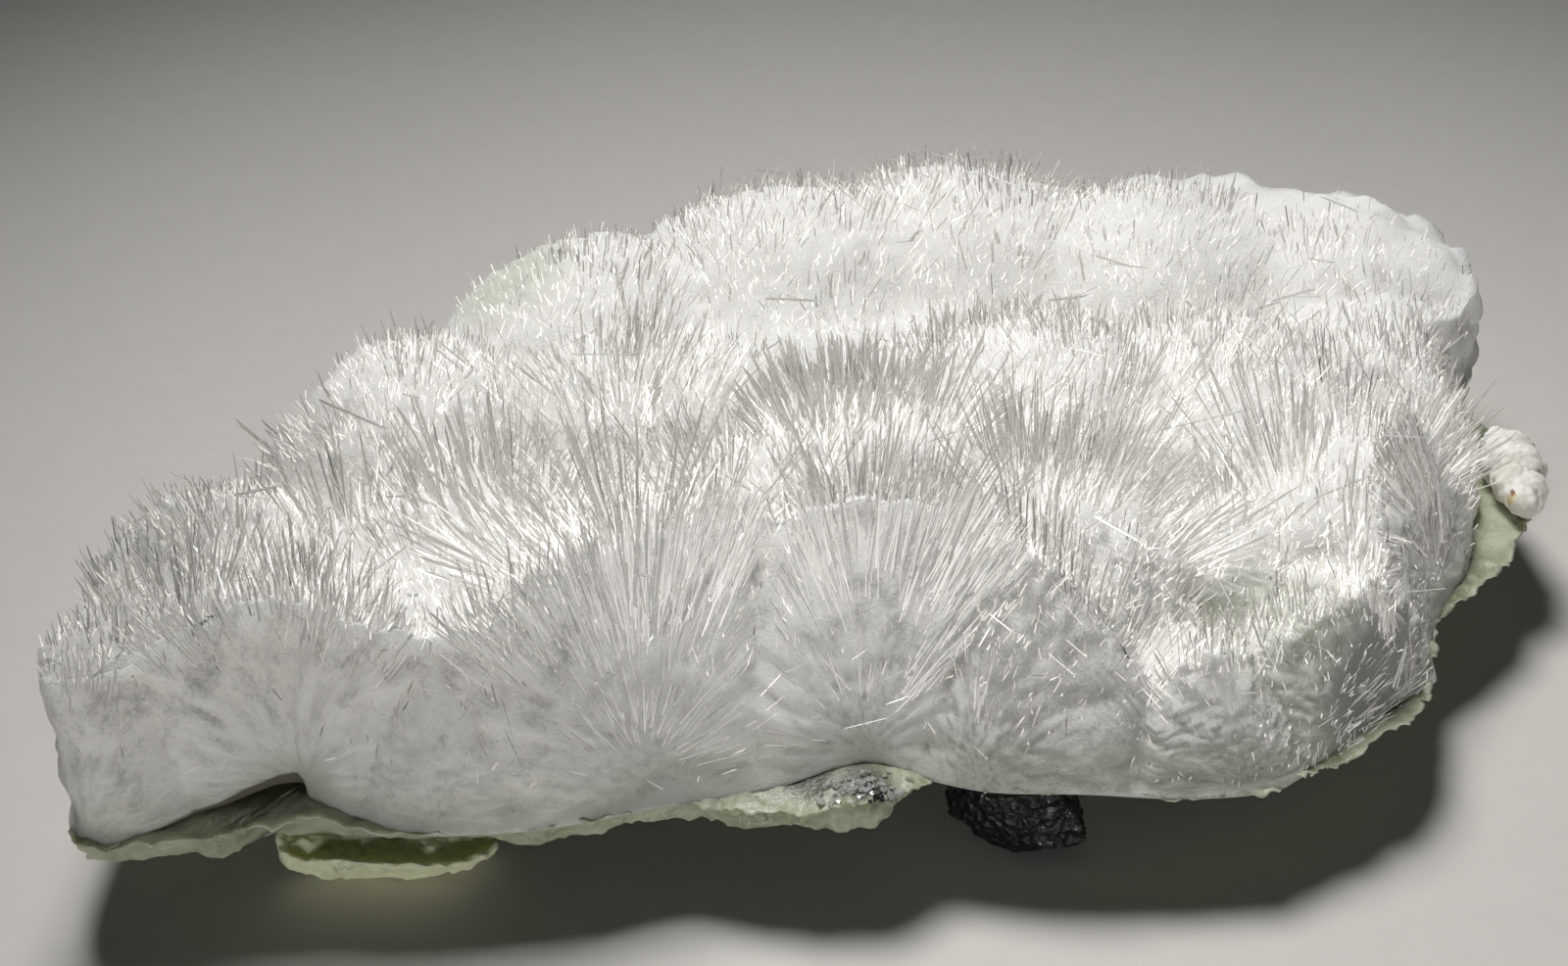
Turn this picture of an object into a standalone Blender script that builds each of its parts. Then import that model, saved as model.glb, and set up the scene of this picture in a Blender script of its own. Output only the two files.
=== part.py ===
"""Artinite specimen: a mat of radiating needle sprays on a thin plate of green serpentine.

The specimen stands on three places: a splinter of serpentine at the front left, a lump of magnetite
at the front right and the thick rear of the plate. +X runs along its width, +Y to its back, +Z up,
and the origin is on the table under its middle. Lengths are in millimetres until the meshes are made.
"""

import math
import random

import bmesh
import bpy
from mathutils import Matrix, Vector, geometry, noise
from mathutils.bvhtree import BVHTree

MM = 0.001
SEED = 41

# Levels above the table.
PLATE_UNDERSIDE = 4.3
PLATE_THICKNESS = 1.4
SEAM = 0.3
STONE_GAP = 0.75

# The crust's edge where it meets the plate, anticlockwise from the front left corner. The third
# number is how far the wall above it leans inwards for each millimetre that it rises.
CRUST_OUTLINE = (
    (-31.3, -23.4, 0.02), (-26.5, -22.9, 0.05), (-22.3, -21.6, 0.10), (-19.6, -22.5, 0.15),
    (-16.5, -23.2, 0.25), (-12.0, -22.9, 0.30), (-8.6, -22.2, 0.40), (-5.4, -21.3, 0.50),
    (-0.8, -20.6, 0.65), (3.8, -19.4, 0.72), (7.0, -20.1, 0.70), (10.4, -20.7, 0.65),
    (14.5, -20.9, 0.70), (20.9, -20.6, 0.75), (24.2, -19.4, 0.70), (27.2, -17.7, 0.60),
    (29.9, -15.5, 0.50), (31.2, -13.3, 0.50), (31.6, -10.6, 0.50), (32.8, -7.6, 0.50),
    (35.0, -4.4, 0.45), (36.6, -1.0, 0.40), (37.2, 2.4, 0.35), (36.8, 6.4, 0.30),
    (38.4, 9.8, 0.20), (40.2, 14.2, 0.12), (39.2, 19.4, 0.08), (34.8, 23.8, 0.05),
    (26.8, 26.2, 0.05), (18.2, 27.2, 0.10), (9.4, 28.2, 0.12), (1.8, 27.0, 0.12),
    (-5.8, 23.6, 0.12), (-12.8, 18.4, 0.12), (-18.4, 12.6, 0.10), (-21.8, 6.4, 0.08),
    (-25.4, 0.6, 0.08), (-29.0, -5.0, 0.05), (-31.2, -11.2, 0.02), (-32.0, -17.8, 0.0),
)
# The plate's ragged edge. It shows past the crust at the front, and most at the right.
PLATE_OUTLINE = (
    (-31.6, -24.1), (-26.7, -24.2), (-21.9, -23.8), (-14.5, -23.8), (-8.9, -22.8), (-5.4, -21.9),
    (-0.9, -22.4), (2.7, -22.5), (5.6, -21.8), (6.8, -20.5), (9.0, -21.1), (13.9, -21.4),
    (21.1, -21.1), (24.1, -19.9), (27.1, -18.1), (29.9, -15.9), (31.5, -13.8), (32.1, -11.3),
    (33.1, -8.6), (35.4, -6.1), (37.6, -4.2), (39.8, -0.5), (41.2, 3.5), (40.7, 6.9),
    (39.0, 9.8), (39.2, 14.0), (37.4, 18.6), (30.4, 23.4), (19.6, 25.4), (9.4, 26.4),
    (-0.6, 24.4), (-10.0, 18.8), (-17.4, 11.6), (-22.0, 4.4), (-26.4, -2.6), (-30.2, -10.4),
    (-31.8, -18.2),
)
# Where the plate swells up into the crust: x, y, height and width.
PLATE_SWELLS = (
    (-22.0, -20.6, 1.0, 4.5),
    (3.2, -20.2, 0.9, 4.2),
    (13.2, -19.8, 0.5, 3.4),
)

# Each spray: x and y of the point it grows from, and how far its longest needles reach.
SPRAYS = {
    "left_corner": (-29.6, -21.6, 11.6),
    "left_front": (-22.4, -20.4, 12.8),
    "low_front": (-15.2, -19.6, 10.6),
    "long_needles": (-7.4, -17.2, 13.2),
    "bright_bundle": (-4.6, -18.2, 11.0),
    "front_fan": (3.8, -17.2, 14.4),
    "leaning_fan": (9.4, -16.6, 10.4),
    "low_fan": (20.0, -16.6, 6.4),
    "right_facet": (26.4, -14.0, 7.6),
    "left_shoulder": (-27.0, -11.6, 11.2),
    "thick_blades": (-14.2, -9.4, 12.0),
    "hollow_side": (-4.0, -8.0, 9.6),
    "blunt_dome": (4.6, -4.2, 12.6),
    "dark_ridge": (12.8, -8.4, 11.0),
    "green_flat": (22.6, -7.0, 7.6),
    "right_spray": (29.6, -4.0, 10.2),
    "left_rear": (-20.6, 1.6, 11.4),
    "rear_hollow": (-8.0, 4.2, 10.2),
    "rear_dome": (14.2, 3.2, 11.6),
    "right_dome": (24.2, 3.6, 11.2),
    "right_edge": (33.0, 6.4, 9.8),
    "back_left": (-11.6, 13.4, 10.8),
    "back_middle": (0.6, 18.0, 11.7),
    "back_ridge": (10.6, 20.6, 11.9),
    "back_right": (21.4, 18.0, 11.6),
    "rim_corner": (32.4, 16.6, 10.2),
}
# The compact, knobbly part of the crust along its right rear edge: x, y and radius.
RIM_KNOBS = (
    (25.8, 24.2, 2.6), (30.4, 23.2, 2.9), (34.6, 21.2, 2.4), (37.4, 17.8, 2.7), (38.2, 13.6, 2.3),
    (32.6, 18.8, 2.5), (36.2, 9.4, 2.2), (21.2, 25.0, 2.3),
)
# The white nodule on the right edge of the plate, as knobs: x, y and radius.
NODULE_KNOBS = ((39.2, -0.1, 1.2), (39.7, 1.7, 1.35), (39.6, 3.6, 1.35), (39.3, 5.4, 1.15))
NODULE_ROUGHNESS = 0.25
KNOB_SUNK = 0.35
KNOB_CLEAR = 1.2
BODY_SHARE = 0.78
DOME_BLEND = 7
LEAST_CRUST = 2.6

RIM_STEPS = 110
WALL_ROWS = 4
WALL_BULGE = 1.5
TOP_SPACING = 2.8
UNDER_SPACING = 4.2
LUMP_HEIGHT = 0.55
LUMP_SIZE = 3.2

# Blades that stand out of the sprays.
BLADES_PER_AREA = 0.032
BLADE_ROOT = 0.55
BLADE_WIDTH = (0.42, 0.62)
BLADE_FLATNESS = 0.6
BLADE_TAPER = 0.55
LEAST_STANDOUT = 0.9
LEAST_ROOT = 0.6
FARTHEST_LEAN = 62.0

# The thick rear of the plate, which carries it.
FOOT_CENTRE = (9.0, 7.0)
FOOT_SIZE = (15.0, 7.5)

NODES = {
    "artinite_crust": ((0.78, 0.78, 0.76, 1.0), 0.35),
    "serpentine_plate": ((0.42, 0.46, 0.33, 1.0), 0.6),
    "serpentine_splinter": ((0.46, 0.50, 0.36, 1.0), 0.5),
    "magnetite_lump": ((0.02, 0.02, 0.022, 1.0), 0.4),
    "white_nodule": ((0.82, 0.80, 0.72, 1.0), 0.6),
}


def smooth_closed_curve(points, count):
    """Points at even steps of a Catmull-Rom curve through the given corners."""
    total = len(points)
    made = []
    for step in range(count):
        along = step * total / count
        corner = int(along)
        t = along - corner
        p0, p1, p2, p3 = (Vector(points[(corner + k) % total]) for k in (-1, 0, 1, 2))
        bend = 2 * p0 - 5 * p1 + 4 * p2 - p3
        twist = 3 * p1 - p0 - 3 * p2 + p3
        made.append(0.5 * (2 * p1 + (p2 - p0) * t + bend * t**2 + twist * t**3))
    return made


def wobble(place):
    """Smooth random vector for a place."""
    shifts = (Vector((31.4, 0, 0)), Vector((0, 47.2, 0)), Vector((0, 0, 58.9)))
    return Vector([noise.noise(place + shift) for shift in shifts])


def inwards(loop, index):
    """Level direction that points into the loop at one of its points."""
    along = loop[(index + 1) % len(loop)] - loop[index - 1]
    return Vector((-along.y, along.x, 0.0)).normalized()


def is_inside(x, y, loop):
    """True where the point lies within the loop."""
    found = False
    for a, b in zip(loop, loop[1:] + loop[:1]):
        if (a.y > y) != (b.y > y) and x < a.x + (y - a.y) * (b.x - a.x) / (b.y - a.y):
            found = not found
    return found


def contact_height(x, y):
    """Top of the plate, where the crust grows on it."""
    height = PLATE_UNDERSIDE + PLATE_THICKNESS
    for cx, cy, rise, width in PLATE_SWELLS:
        height += rise * math.exp(-((x - cx) ** 2 + (y - cy) ** 2) / width**2)
    return height


def crust_thickness(x, y):
    """Thickness of the crust's massive part: the domes of the sprays, run together."""
    total = LEAST_CRUST**DOME_BLEND
    for cx, cy, reach in SPRAYS.values():
        inside = (BODY_SHARE * reach) ** 2 - (x - cx) ** 2 - (y - cy) ** 2
        if inside > 0:
            total += math.sqrt(inside) ** DOME_BLEND
    lump = noise.noise(Vector((x, y, 3.7)) / LUMP_SIZE)
    return total ** (1 / DOME_BLEND) + LUMP_HEIGHT * lump


def crust_base(x, y):
    """Level of the crust's underside."""
    return contact_height(x, y) + SEAM


def crust_top(x, y):
    """Level of the top of the crust's massive part."""
    return crust_base(x, y) + crust_thickness(x, y)


def wall_columns():
    """The crust's wall as columns of points, one column for each step along its edge."""
    outline = smooth_closed_curve(CRUST_OUTLINE, RIM_STEPS)
    loop = [Vector((p.x, p.y, 0.0)) for p in outline]
    columns = []
    for index, place in enumerate(loop):
        inward = inwards(loop, index)
        lean = outline[index].z
        run = 0.0
        for _ in range(6):
            top = place + run * inward
            run = lean * crust_thickness(top.x, top.y)
        top = place + run * inward
        low = crust_base(place.x, place.y)
        high = crust_top(top.x, top.y)
        column = []
        for row in range(WALL_ROWS + 1):
            t = row / WALL_ROWS
            at = place + run * t**WALL_BULGE * inward
            column.append(Vector((at.x, at.y, low + (high - low) * t)))
        columns.append(column)
    return columns


def scattered_points(loop, spacing):
    """A staggered field of points inside a loop, kept clear of its edge."""
    points = []
    low_x = min(p.x for p in loop)
    low_y = min(p.y for p in loop)
    rows = int((max(p.y for p in loop) - low_y) / (spacing * 0.866)) + 1
    steps = int((max(p.x for p in loop) - low_x) / spacing) + 1
    for row in range(rows):
        for step in range(steps):
            x = low_x + (step + 0.5 * (row % 2)) * spacing + random.uniform(-0.16, 0.16) * spacing
            y = low_y + row * spacing * 0.866 + random.uniform(-0.16, 0.16) * spacing
            clear = min((p.x - x) ** 2 + (p.y - y) ** 2 for p in loop) > (0.62 * spacing) ** 2
            if clear and is_inside(x, y, loop):
                points.append(Vector((x, y)))
    return points


def add_sheet(mesh, rim, spacing, level, faces_up):
    """Close a loop of vertices with a triangulated sheet whose level comes from a function."""
    loop = [Vector((v.co.x, v.co.y)) for v in rim]
    places = loop + scattered_points(loop, spacing)
    ring = [(i, (i + 1) % len(loop)) for i in range(len(loop))]
    flat, _, triangles, _, _, _ = geometry.delaunay_2d_cdt(places, ring, [], 1, 1e-5)
    verts = list(rim)
    for place in flat[len(loop):]:
        verts.append(mesh.verts.new((place.x, place.y, level(place.x, place.y))))
    for triangle in triangles:
        corners = [verts[i] for i in triangle]
        mesh.faces.new(corners if faces_up else corners[::-1])


def new_object(mesh, name):
    """Turn a mesh in millimetres into a named object in metres."""
    bmesh.ops.scale(mesh, vec=(MM, MM, MM), verts=mesh.verts)
    bmesh.ops.recalc_face_normals(mesh, faces=mesh.faces)
    data = bpy.data.meshes.new(name)
    mesh.to_mesh(data)
    mesh.free()
    made = bpy.data.objects.new(name, data)
    bpy.context.scene.collection.objects.link(made)
    return made


def build_crust_body():
    """The crust without its blades: leaning wall, domed top and an underside that fits the plate."""
    mesh = bmesh.new()
    columns = [[mesh.verts.new(p) for p in column] for column in wall_columns()]
    for left, right in zip(columns, columns[1:] + columns[:1]):
        for row in range(WALL_ROWS):
            mesh.faces.new((left[row], right[row], right[row + 1], left[row + 1]))
    add_sheet(mesh, [c[-1] for c in columns], TOP_SPACING, crust_top, True)
    add_sheet(mesh, [c[0] for c in columns], UNDER_SPACING, crust_base, False)
    return new_object(mesh, "artinite_crust")


def blade_direction(rng):
    """Random direction that points upwards within the widest lean."""
    lean = math.radians(FARTHEST_LEAN) * math.sqrt(rng.random())
    turn = rng.uniform(0, math.tau)
    return Vector((math.sin(lean) * math.cos(turn), math.sin(lean) * math.sin(turn), math.cos(lean)))


def add_blade(mesh, rng, root, tip):
    """One tapered, flattened, blunt blade from its root to its tip."""
    width = rng.uniform(*BLADE_WIDTH)
    stretch = Matrix.Diagonal((width, width * BLADE_FLATNESS, 1.0, 1.0))
    twist = Matrix.Rotation(rng.uniform(0, math.tau), 4, "Z")
    turn = (tip - root).to_track_quat("Z", "Y").to_matrix().to_4x4()
    bmesh.ops.create_cone(
        mesh, cap_ends=True, segments=4, radius1=1.0, radius2=BLADE_TAPER, depth=(tip - root).length,
        matrix=Matrix.Translation((root + tip) / 2) @ turn @ twist @ stretch,
    )


def depth_inside(tree, place):
    """Distance of a point below the nearest surface. It is negative outside."""
    nearest, normal, _, _ = tree.find_nearest(place)
    return (nearest - place).dot(normal)


def build_blades(body):
    """Blades of every spray, kept where they stand clear of the crust's massive part."""
    mesh = bmesh.new()
    mesh.from_mesh(body.data)
    bmesh.ops.scale(mesh, vec=(1 / MM, 1 / MM, 1 / MM), verts=mesh.verts)
    tree = BVHTree.FromBMesh(mesh)
    mesh.clear()
    rng = random.Random(SEED)
    edge = [Vector((p.x, p.y, 0.0)) for p in smooth_closed_curve(CRUST_OUTLINE, RIM_STEPS)]
    for x, y, reach in SPRAYS.values():
        centre = Vector((x, y, crust_base(x, y)))
        for _ in range(int(BLADES_PER_AREA * math.tau * reach**2)):
            direction = blade_direction(rng)
            root = centre + BLADE_ROOT * reach * direction
            tip = centre + rng.uniform(0.9, 1.06) * reach * direction
            rooted = depth_inside(tree, root) > LEAST_ROOT
            proud = depth_inside(tree, tip) < -LEAST_STANDOUT
            if rooted and proud and is_inside(tip.x, tip.y, edge):
                add_blade(mesh, rng, root, tip)
    print("blades", len(mesh.verts) // 8, "body", sum(len(f.vertices) - 2 for f in body.data.polygons))
    return new_object(mesh, "blades")


def build_knobs():
    """Rounded knobs of the compact rim."""
    mesh = bmesh.new()
    for x, y, radius in RIM_KNOBS:
        level = max(crust_top(x, y) - KNOB_SUNK * radius, crust_base(x, y) + KNOB_CLEAR * radius)
        bmesh.ops.create_icosphere(
            mesh, subdivisions=2, radius=radius,
            matrix=Matrix.Translation((x, y, level)) @ Matrix.Rotation(x + y, 4, "Z"),
        )
    for vert in mesh.verts:
        vert.co += 0.35 * wobble(vert.co / 1.7)
    return new_object(mesh, "knobs")


def fuse(target, tool):
    """Boolean union of a tool into a target. The tool is removed."""
    step = target.modifiers.new("Join", "BOOLEAN")
    step.operation = "UNION"
    step.solver = "EXACT"
    step.use_self = True
    step.object = tool
    bpy.context.view_layer.objects.active = target
    bpy.ops.object.modifier_apply(modifier=step.name)
    bpy.data.objects.remove(tool)


def plate_under(x, y):
    """Level of the plate's underside. It drops to the table around the foot."""
    fx = (x - FOOT_CENTRE[0]) / FOOT_SIZE[0]
    fy = (y - FOOT_CENTRE[1]) / FOOT_SIZE[1]
    away = math.hypot(fx, fy)
    rough = 0.35 * noise.noise(Vector((x, y, 9.1)) / 3.0)
    return max(0.0, min(PLATE_UNDERSIDE + rough, PLATE_UNDERSIDE * 2.6 * (away - 1.0)))


def build_plate():
    """Thin plate with a ragged edge, swollen in places, and a foot at the rear."""
    mesh = bmesh.new()
    upper = []
    lower = []
    outline = smooth_closed_curve(PLATE_OUTLINE, 120)
    for index, place in enumerate(outline):
        ragged = 0.3 * noise.noise(Vector((place.x, place.y, 0.0)) / 1.3)
        at = place + ragged * inwards(outline, index).to_2d()
        upper.append(mesh.verts.new((at.x, at.y, contact_height(at.x, at.y) - 0.35)))
        under = place + (0.5 + ragged) * inwards(outline, index).to_2d()
        lower.append(mesh.verts.new((under.x, under.y, plate_under(under.x, under.y))))
    for index in range(len(outline)):
        after = (index + 1) % len(outline)
        mesh.faces.new((lower[index], lower[after], upper[after], upper[index]))
    add_sheet(mesh, upper, UNDER_SPACING, contact_height, True)
    add_sheet(mesh, lower, UNDER_SPACING, plate_under, False)
    return new_object(mesh, "serpentine_plate")


def rough_stone(subdivisions, centre, size, turn, roughness, seed):
    """A mesh of an angular piece of rock."""
    mesh = bmesh.new()
    bmesh.ops.create_icosphere(mesh, subdivisions=subdivisions, radius=1.0)
    for vert in mesh.verts:
        vert.co += roughness * wobble(vert.co * 1.6 + Vector((seed, 0, 0)))
    bmesh.ops.scale(mesh, vec=size, verts=mesh.verts)
    bmesh.ops.rotate(mesh, matrix=Matrix.Rotation(math.radians(turn), 3, "Z"), verts=mesh.verts)
    bmesh.ops.translate(mesh, vec=centre, verts=mesh.verts)
    return mesh


def cut_flat(mesh, point, normal):
    """Cut off what lies beyond a plane and close the cut."""
    parts = mesh.verts[:] + mesh.edges[:] + mesh.faces[:]
    cut = bmesh.ops.bisect_plane(mesh, geom=parts, plane_co=point, plane_no=normal, clear_outer=True)
    edges = [e for e in cut["geom_cut"] if isinstance(e, bmesh.types.BMEdge)]
    bmesh.ops.contextual_create(mesh, geom=edges)


def build_splinter():
    """The flake of serpentine under the front left edge."""
    mesh = rough_stone(3, (-18.6, -19.6, 1.7), (5.9, 2.3, 2.5), -2, 0.26, 2.0)
    cut_flat(mesh, (0, 0, 0), (0, 0, -1))
    cut_flat(mesh, (-18.6, -19.6, PLATE_UNDERSIDE - STONE_GAP - 0.1), (0.02, -0.06, 1))
    return new_object(mesh, "serpentine_splinter")


def build_lump():
    """The black lump of magnetite under the front edge."""
    mesh = rough_stone(2, (11.7, -17.6, 1.6), (3.2, 2.4, 2.6), 10, 0.34, 7.0)
    cut_flat(mesh, (0, 0, 0), (0, 0, -1))
    cut_flat(mesh, (0, 0, PLATE_UNDERSIDE - STONE_GAP), (0, 0, 1))
    return new_object(mesh, "magnetite_lump")


def build_nodule():
    """The white knobbly crust on the right edge of the plate."""
    knobs = []
    for index, (x, y, radius) in enumerate(NODULE_KNOBS):
        mesh = bmesh.new()
        level = PLATE_UNDERSIDE + PLATE_THICKNESS + KNOB_CLEAR * radius
        bmesh.ops.create_icosphere(mesh, subdivisions=2, radius=radius, matrix=Matrix.Translation((x, y, level)))
        for vert in mesh.verts:
            vert.co += NODULE_ROUGHNESS * wobble(vert.co / 0.9)
        cut_flat(mesh, (0, 0, PLATE_UNDERSIDE + PLATE_THICKNESS + SEAM), (0, 0, -1))
        knobs.append(new_object(mesh, "white_nodule" if index == 0 else "knob"))
    for knob in knobs[1:]:
        fuse(knobs[0], knob)
    return knobs[0]


def paint(made, color, roughness):
    """Give an object its own material."""
    material = bpy.data.materials.new(made.name)
    material.use_nodes = True
    shader = material.node_tree.nodes["Principled BSDF"]
    shader.inputs["Base Color"].default_value = color
    shader.inputs["Roughness"].default_value = roughness
    made.data.materials.clear()
    made.data.materials.append(material)


def centre_on_table(objects):
    """Move every mesh so that the origin lies under the middle of the whole specimen."""
    corners = [v.co for made in objects for v in made.data.vertices]
    middle_x = (min(c.x for c in corners) + max(c.x for c in corners)) / 2
    middle_y = (min(c.y for c in corners) + max(c.y for c in corners)) / 2
    for made in objects:
        made.data.transform(Matrix.Translation((-middle_x, -middle_y, 0.0)))
    print("moved by", round(-middle_x / MM, 4), round(-middle_y / MM, 4))


def main():
    for old in list(bpy.data.objects):
        bpy.data.objects.remove(old)
    random.seed(SEED)
    crust = build_crust_body()
    blades = build_blades(crust)
    fuse(crust, build_knobs())
    fuse(crust, blades)
    objects = [crust, build_plate(), build_splinter(), build_lump(), build_nodule()]
    for made in objects:
        paint(made, *NODES[made.name])
    centre_on_table(objects)
    print({made.name: sum(len(f.vertices) - 2 for f in made.data.polygons) for made in objects})


main()
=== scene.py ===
"""Artinite specimen: a mat of radiating needle sprays on a thin plate of pale green serpentine.

Lengths in the tables are millimetres in the drawing plane of the specimen. DRAWING_SHIFT moves them
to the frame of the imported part, whose origin is on the table under the middle of the specimen.
"""

import math
from collections import namedtuple

import bmesh
import bpy
import numpy as np
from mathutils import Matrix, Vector, noise
from mathutils.bvhtree import BVHTree


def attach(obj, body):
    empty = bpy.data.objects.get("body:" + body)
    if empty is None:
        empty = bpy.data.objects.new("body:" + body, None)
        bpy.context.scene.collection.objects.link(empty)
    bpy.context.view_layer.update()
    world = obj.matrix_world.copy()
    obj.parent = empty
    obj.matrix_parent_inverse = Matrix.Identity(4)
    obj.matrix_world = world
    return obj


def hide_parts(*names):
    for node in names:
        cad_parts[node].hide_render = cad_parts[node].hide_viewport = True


bl_info = {
    "name": "Artinite specimen",
    "version": (1, 0, 0),
    "blender": (4, 5, 0),
    "location": "3D View > Sidebar > Artinite",
    "description": "Builds the looks of an artinite specimen on its packed solids",
    "category": "Object",
}

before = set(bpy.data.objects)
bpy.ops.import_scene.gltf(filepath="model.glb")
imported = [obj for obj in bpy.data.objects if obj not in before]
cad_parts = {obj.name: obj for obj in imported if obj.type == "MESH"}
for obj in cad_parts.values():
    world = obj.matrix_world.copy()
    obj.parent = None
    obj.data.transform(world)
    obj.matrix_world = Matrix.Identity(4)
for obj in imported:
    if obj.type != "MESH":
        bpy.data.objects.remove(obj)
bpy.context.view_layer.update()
MM = 0.001
SEED = 5

DRAWING_SHIFT = np.array((-4.6304, -1.745, 0.0))
# Heights of the plate over the table.
PLATE_UNDERSIDE = 4.3
PLATE_TOP = 5.7

# The crust's edge, anticlockwise from the front left corner, and how far the wall leans inwards
# for each millimetre that it rises. The first 21 corners run along the broken front.
CRUST_OUTLINE = np.array((
    (-31.3, -23.4, 0.02), (-26.5, -22.9, 0.05), (-22.3, -21.6, 0.10), (-19.6, -22.5, 0.15),
    (-16.5, -23.2, 0.25), (-12.0, -22.9, 0.30), (-8.6, -22.2, 0.40), (-5.4, -21.3, 0.50),
    (-0.8, -20.6, 0.65), (3.8, -19.4, 0.72), (7.0, -20.1, 0.70), (10.4, -20.7, 0.65),
    (14.5, -20.9, 0.70), (20.9, -20.6, 0.75), (24.2, -19.4, 0.70), (27.2, -17.7, 0.60),
    (29.9, -15.5, 0.50), (31.2, -13.3, 0.50), (31.6, -10.6, 0.50), (32.8, -7.6, 0.50),
    (35.0, -4.4, 0.45), (36.6, -1.0, 0.40), (37.2, 2.4, 0.35), (36.8, 6.4, 0.30),
    (38.4, 9.8, 0.20), (40.2, 14.2, 0.12), (39.2, 19.4, 0.08), (34.8, 23.8, 0.05),
    (26.8, 26.2, 0.05), (18.2, 27.2, 0.10), (9.4, 28.2, 0.12), (1.8, 27.0, 0.12),
    (-5.8, 23.6, 0.12), (-12.8, 18.4, 0.12), (-18.4, 12.6, 0.10), (-21.8, 6.4, 0.08),
    (-25.4, 0.6, 0.08), (-29.0, -5.0, 0.05), (-31.2, -11.2, 0.02), (-32.0, -17.8, 0.0),
))
FRONT_CORNERS = 21
LEFT_CORNERS = 3
PLATE_OUTLINE = np.array((
    (-31.6, -24.1), (-26.7, -24.2), (-21.9, -23.8), (-14.5, -23.8), (-8.9, -22.8), (-5.4, -21.9),
    (-0.9, -22.4), (2.7, -22.5), (5.6, -21.8), (6.8, -20.5), (9.0, -21.1), (13.9, -21.4),
    (21.1, -21.1), (24.1, -19.9), (27.1, -18.1), (29.9, -15.9), (31.5, -13.8), (32.1, -11.3),
    (33.1, -8.6), (35.4, -6.1), (37.6, -4.2), (39.8, -0.5), (41.2, 3.5), (40.7, 6.9),
    (39.0, 9.8), (39.2, 14.0), (37.4, 18.6), (30.4, 23.4), (19.6, 25.4), (9.4, 26.4),
    (-0.6, 24.4), (-10.0, 18.8), (-17.4, 11.6), (-22.0, 4.4), (-26.4, -2.6), (-30.2, -10.4),
    (-31.8, -18.2),
))
# Swellings of the plate's top: x, y, rise and width.
PLATE_SWELLS = ((-22.0, -20.6, 1.0, 4.5), (3.2, -20.2, 0.9, 4.2), (13.2, -19.8, 0.5, 3.4))
FOOT_CENTRE = (9.0, 7.0)
FOOT_SIZE = (15.0, 7.5)
MIDDLE = np.array((4.0, -1.0))

# The massive part of each spray: x and y of its middle and the reach of its longest needles.
DOMES = np.array((
    (-29.6, -21.6, 11.6), (-22.4, -20.4, 12.8), (-15.2, -19.6, 10.6), (-7.4, -17.2, 13.2),
    (-4.6, -18.2, 11.0), (3.8, -17.2, 14.4), (9.4, -16.6, 10.4), (20.0, -16.6, 6.4),
    (26.4, -14.0, 7.6), (-27.0, -11.6, 11.2), (-14.2, -9.4, 12.0), (-4.0, -8.0, 9.6),
    (4.6, -4.2, 12.6), (12.8, -8.4, 11.0), (22.6, -7.0, 7.6), (29.6, -4.0, 10.2),
    (-20.6, 1.6, 11.4), (-8.0, 4.2, 10.2), (14.2, 3.2, 11.6), (24.2, 3.6, 11.2),
    (33.0, 6.4, 9.8), (-11.6, 13.4, 10.8), (0.6, 18.0, 11.7), (10.6, 20.6, 11.9),
    (21.4, 18.0, 11.6), (32.4, 16.6, 10.2),
))
# Massive share of a spray's reach, how sharply domes meet, the thinnest crust, what fills its back from
# BACK_START on over BACK_REACH, and the share of its thickness that the mass keeps under the needles.
BODY_SHARE = 0.78
DOME_BLEND = 5
LEAST_CRUST = 2.6
BACK_FILL = 3.6
BACK_START = -5.0
BACK_REACH = 8.0
TOP_SUNK = 0.92
BRISTLE_BLEND = 4
BRISTLE_RISE = 1.2
# How deep the mass sits in the plate and needles in the mass, and heights to look down from.
SUNK_IN_PLATE = 0.1
ROOT_DEPTH = 0.6
ABOVE_ALL = 40.0
FELT_START = 14.0

# Where each spray grows from: x, y, height over the plate and reach.
SPRAYS = np.array((
    (-31.0, -23.6, 0.2, 11.8), (-21.8, -21.3, 0.3, 12.6), (-16.4, -21.6, 0.2, 10.4),
    (-6.8, -19.6, 0.5, 15.4), (-5.2, -21.0, 0.0, 11.0), (3.8, -19.0, 0.2, 13.6),
    (8.6, -19.8, 0.0, 11.6), (20.9, -20.0, 0.0, 7.6), (26.4, -16.6, 0.0, 9.0),
    (-27.0, -11.6, 0.0, 12.0), (-14.2, -10.2, 0.0, 13.4), (-4.0, -8.0, 0.0, 10.0),
    (4.6, -4.6, 0.0, 13.0), (13.2, -9.4, 0.0, 12.0), (22.6, -7.0, 0.0, 8.2),
    (29.4, -6.0, 0.0, 11.2), (-20.6, 1.6, 0.0, 11.9), (-8.0, 4.2, 0.0, 10.6),
    (14.2, 3.2, 0.0, 12.0), (24.2, 3.6, 0.0, 11.8), (33.0, 6.4, 0.0, 10.4),
    (-11.6, 13.4, 0.0, 11.4), (0.6, 18.0, 0.0, 12.4), (10.6, 20.6, 0.0, 12.5),
    (21.4, 18.0, 0.0, 12.0), (32.4, 16.6, 0.0, 9.4),
))

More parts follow.
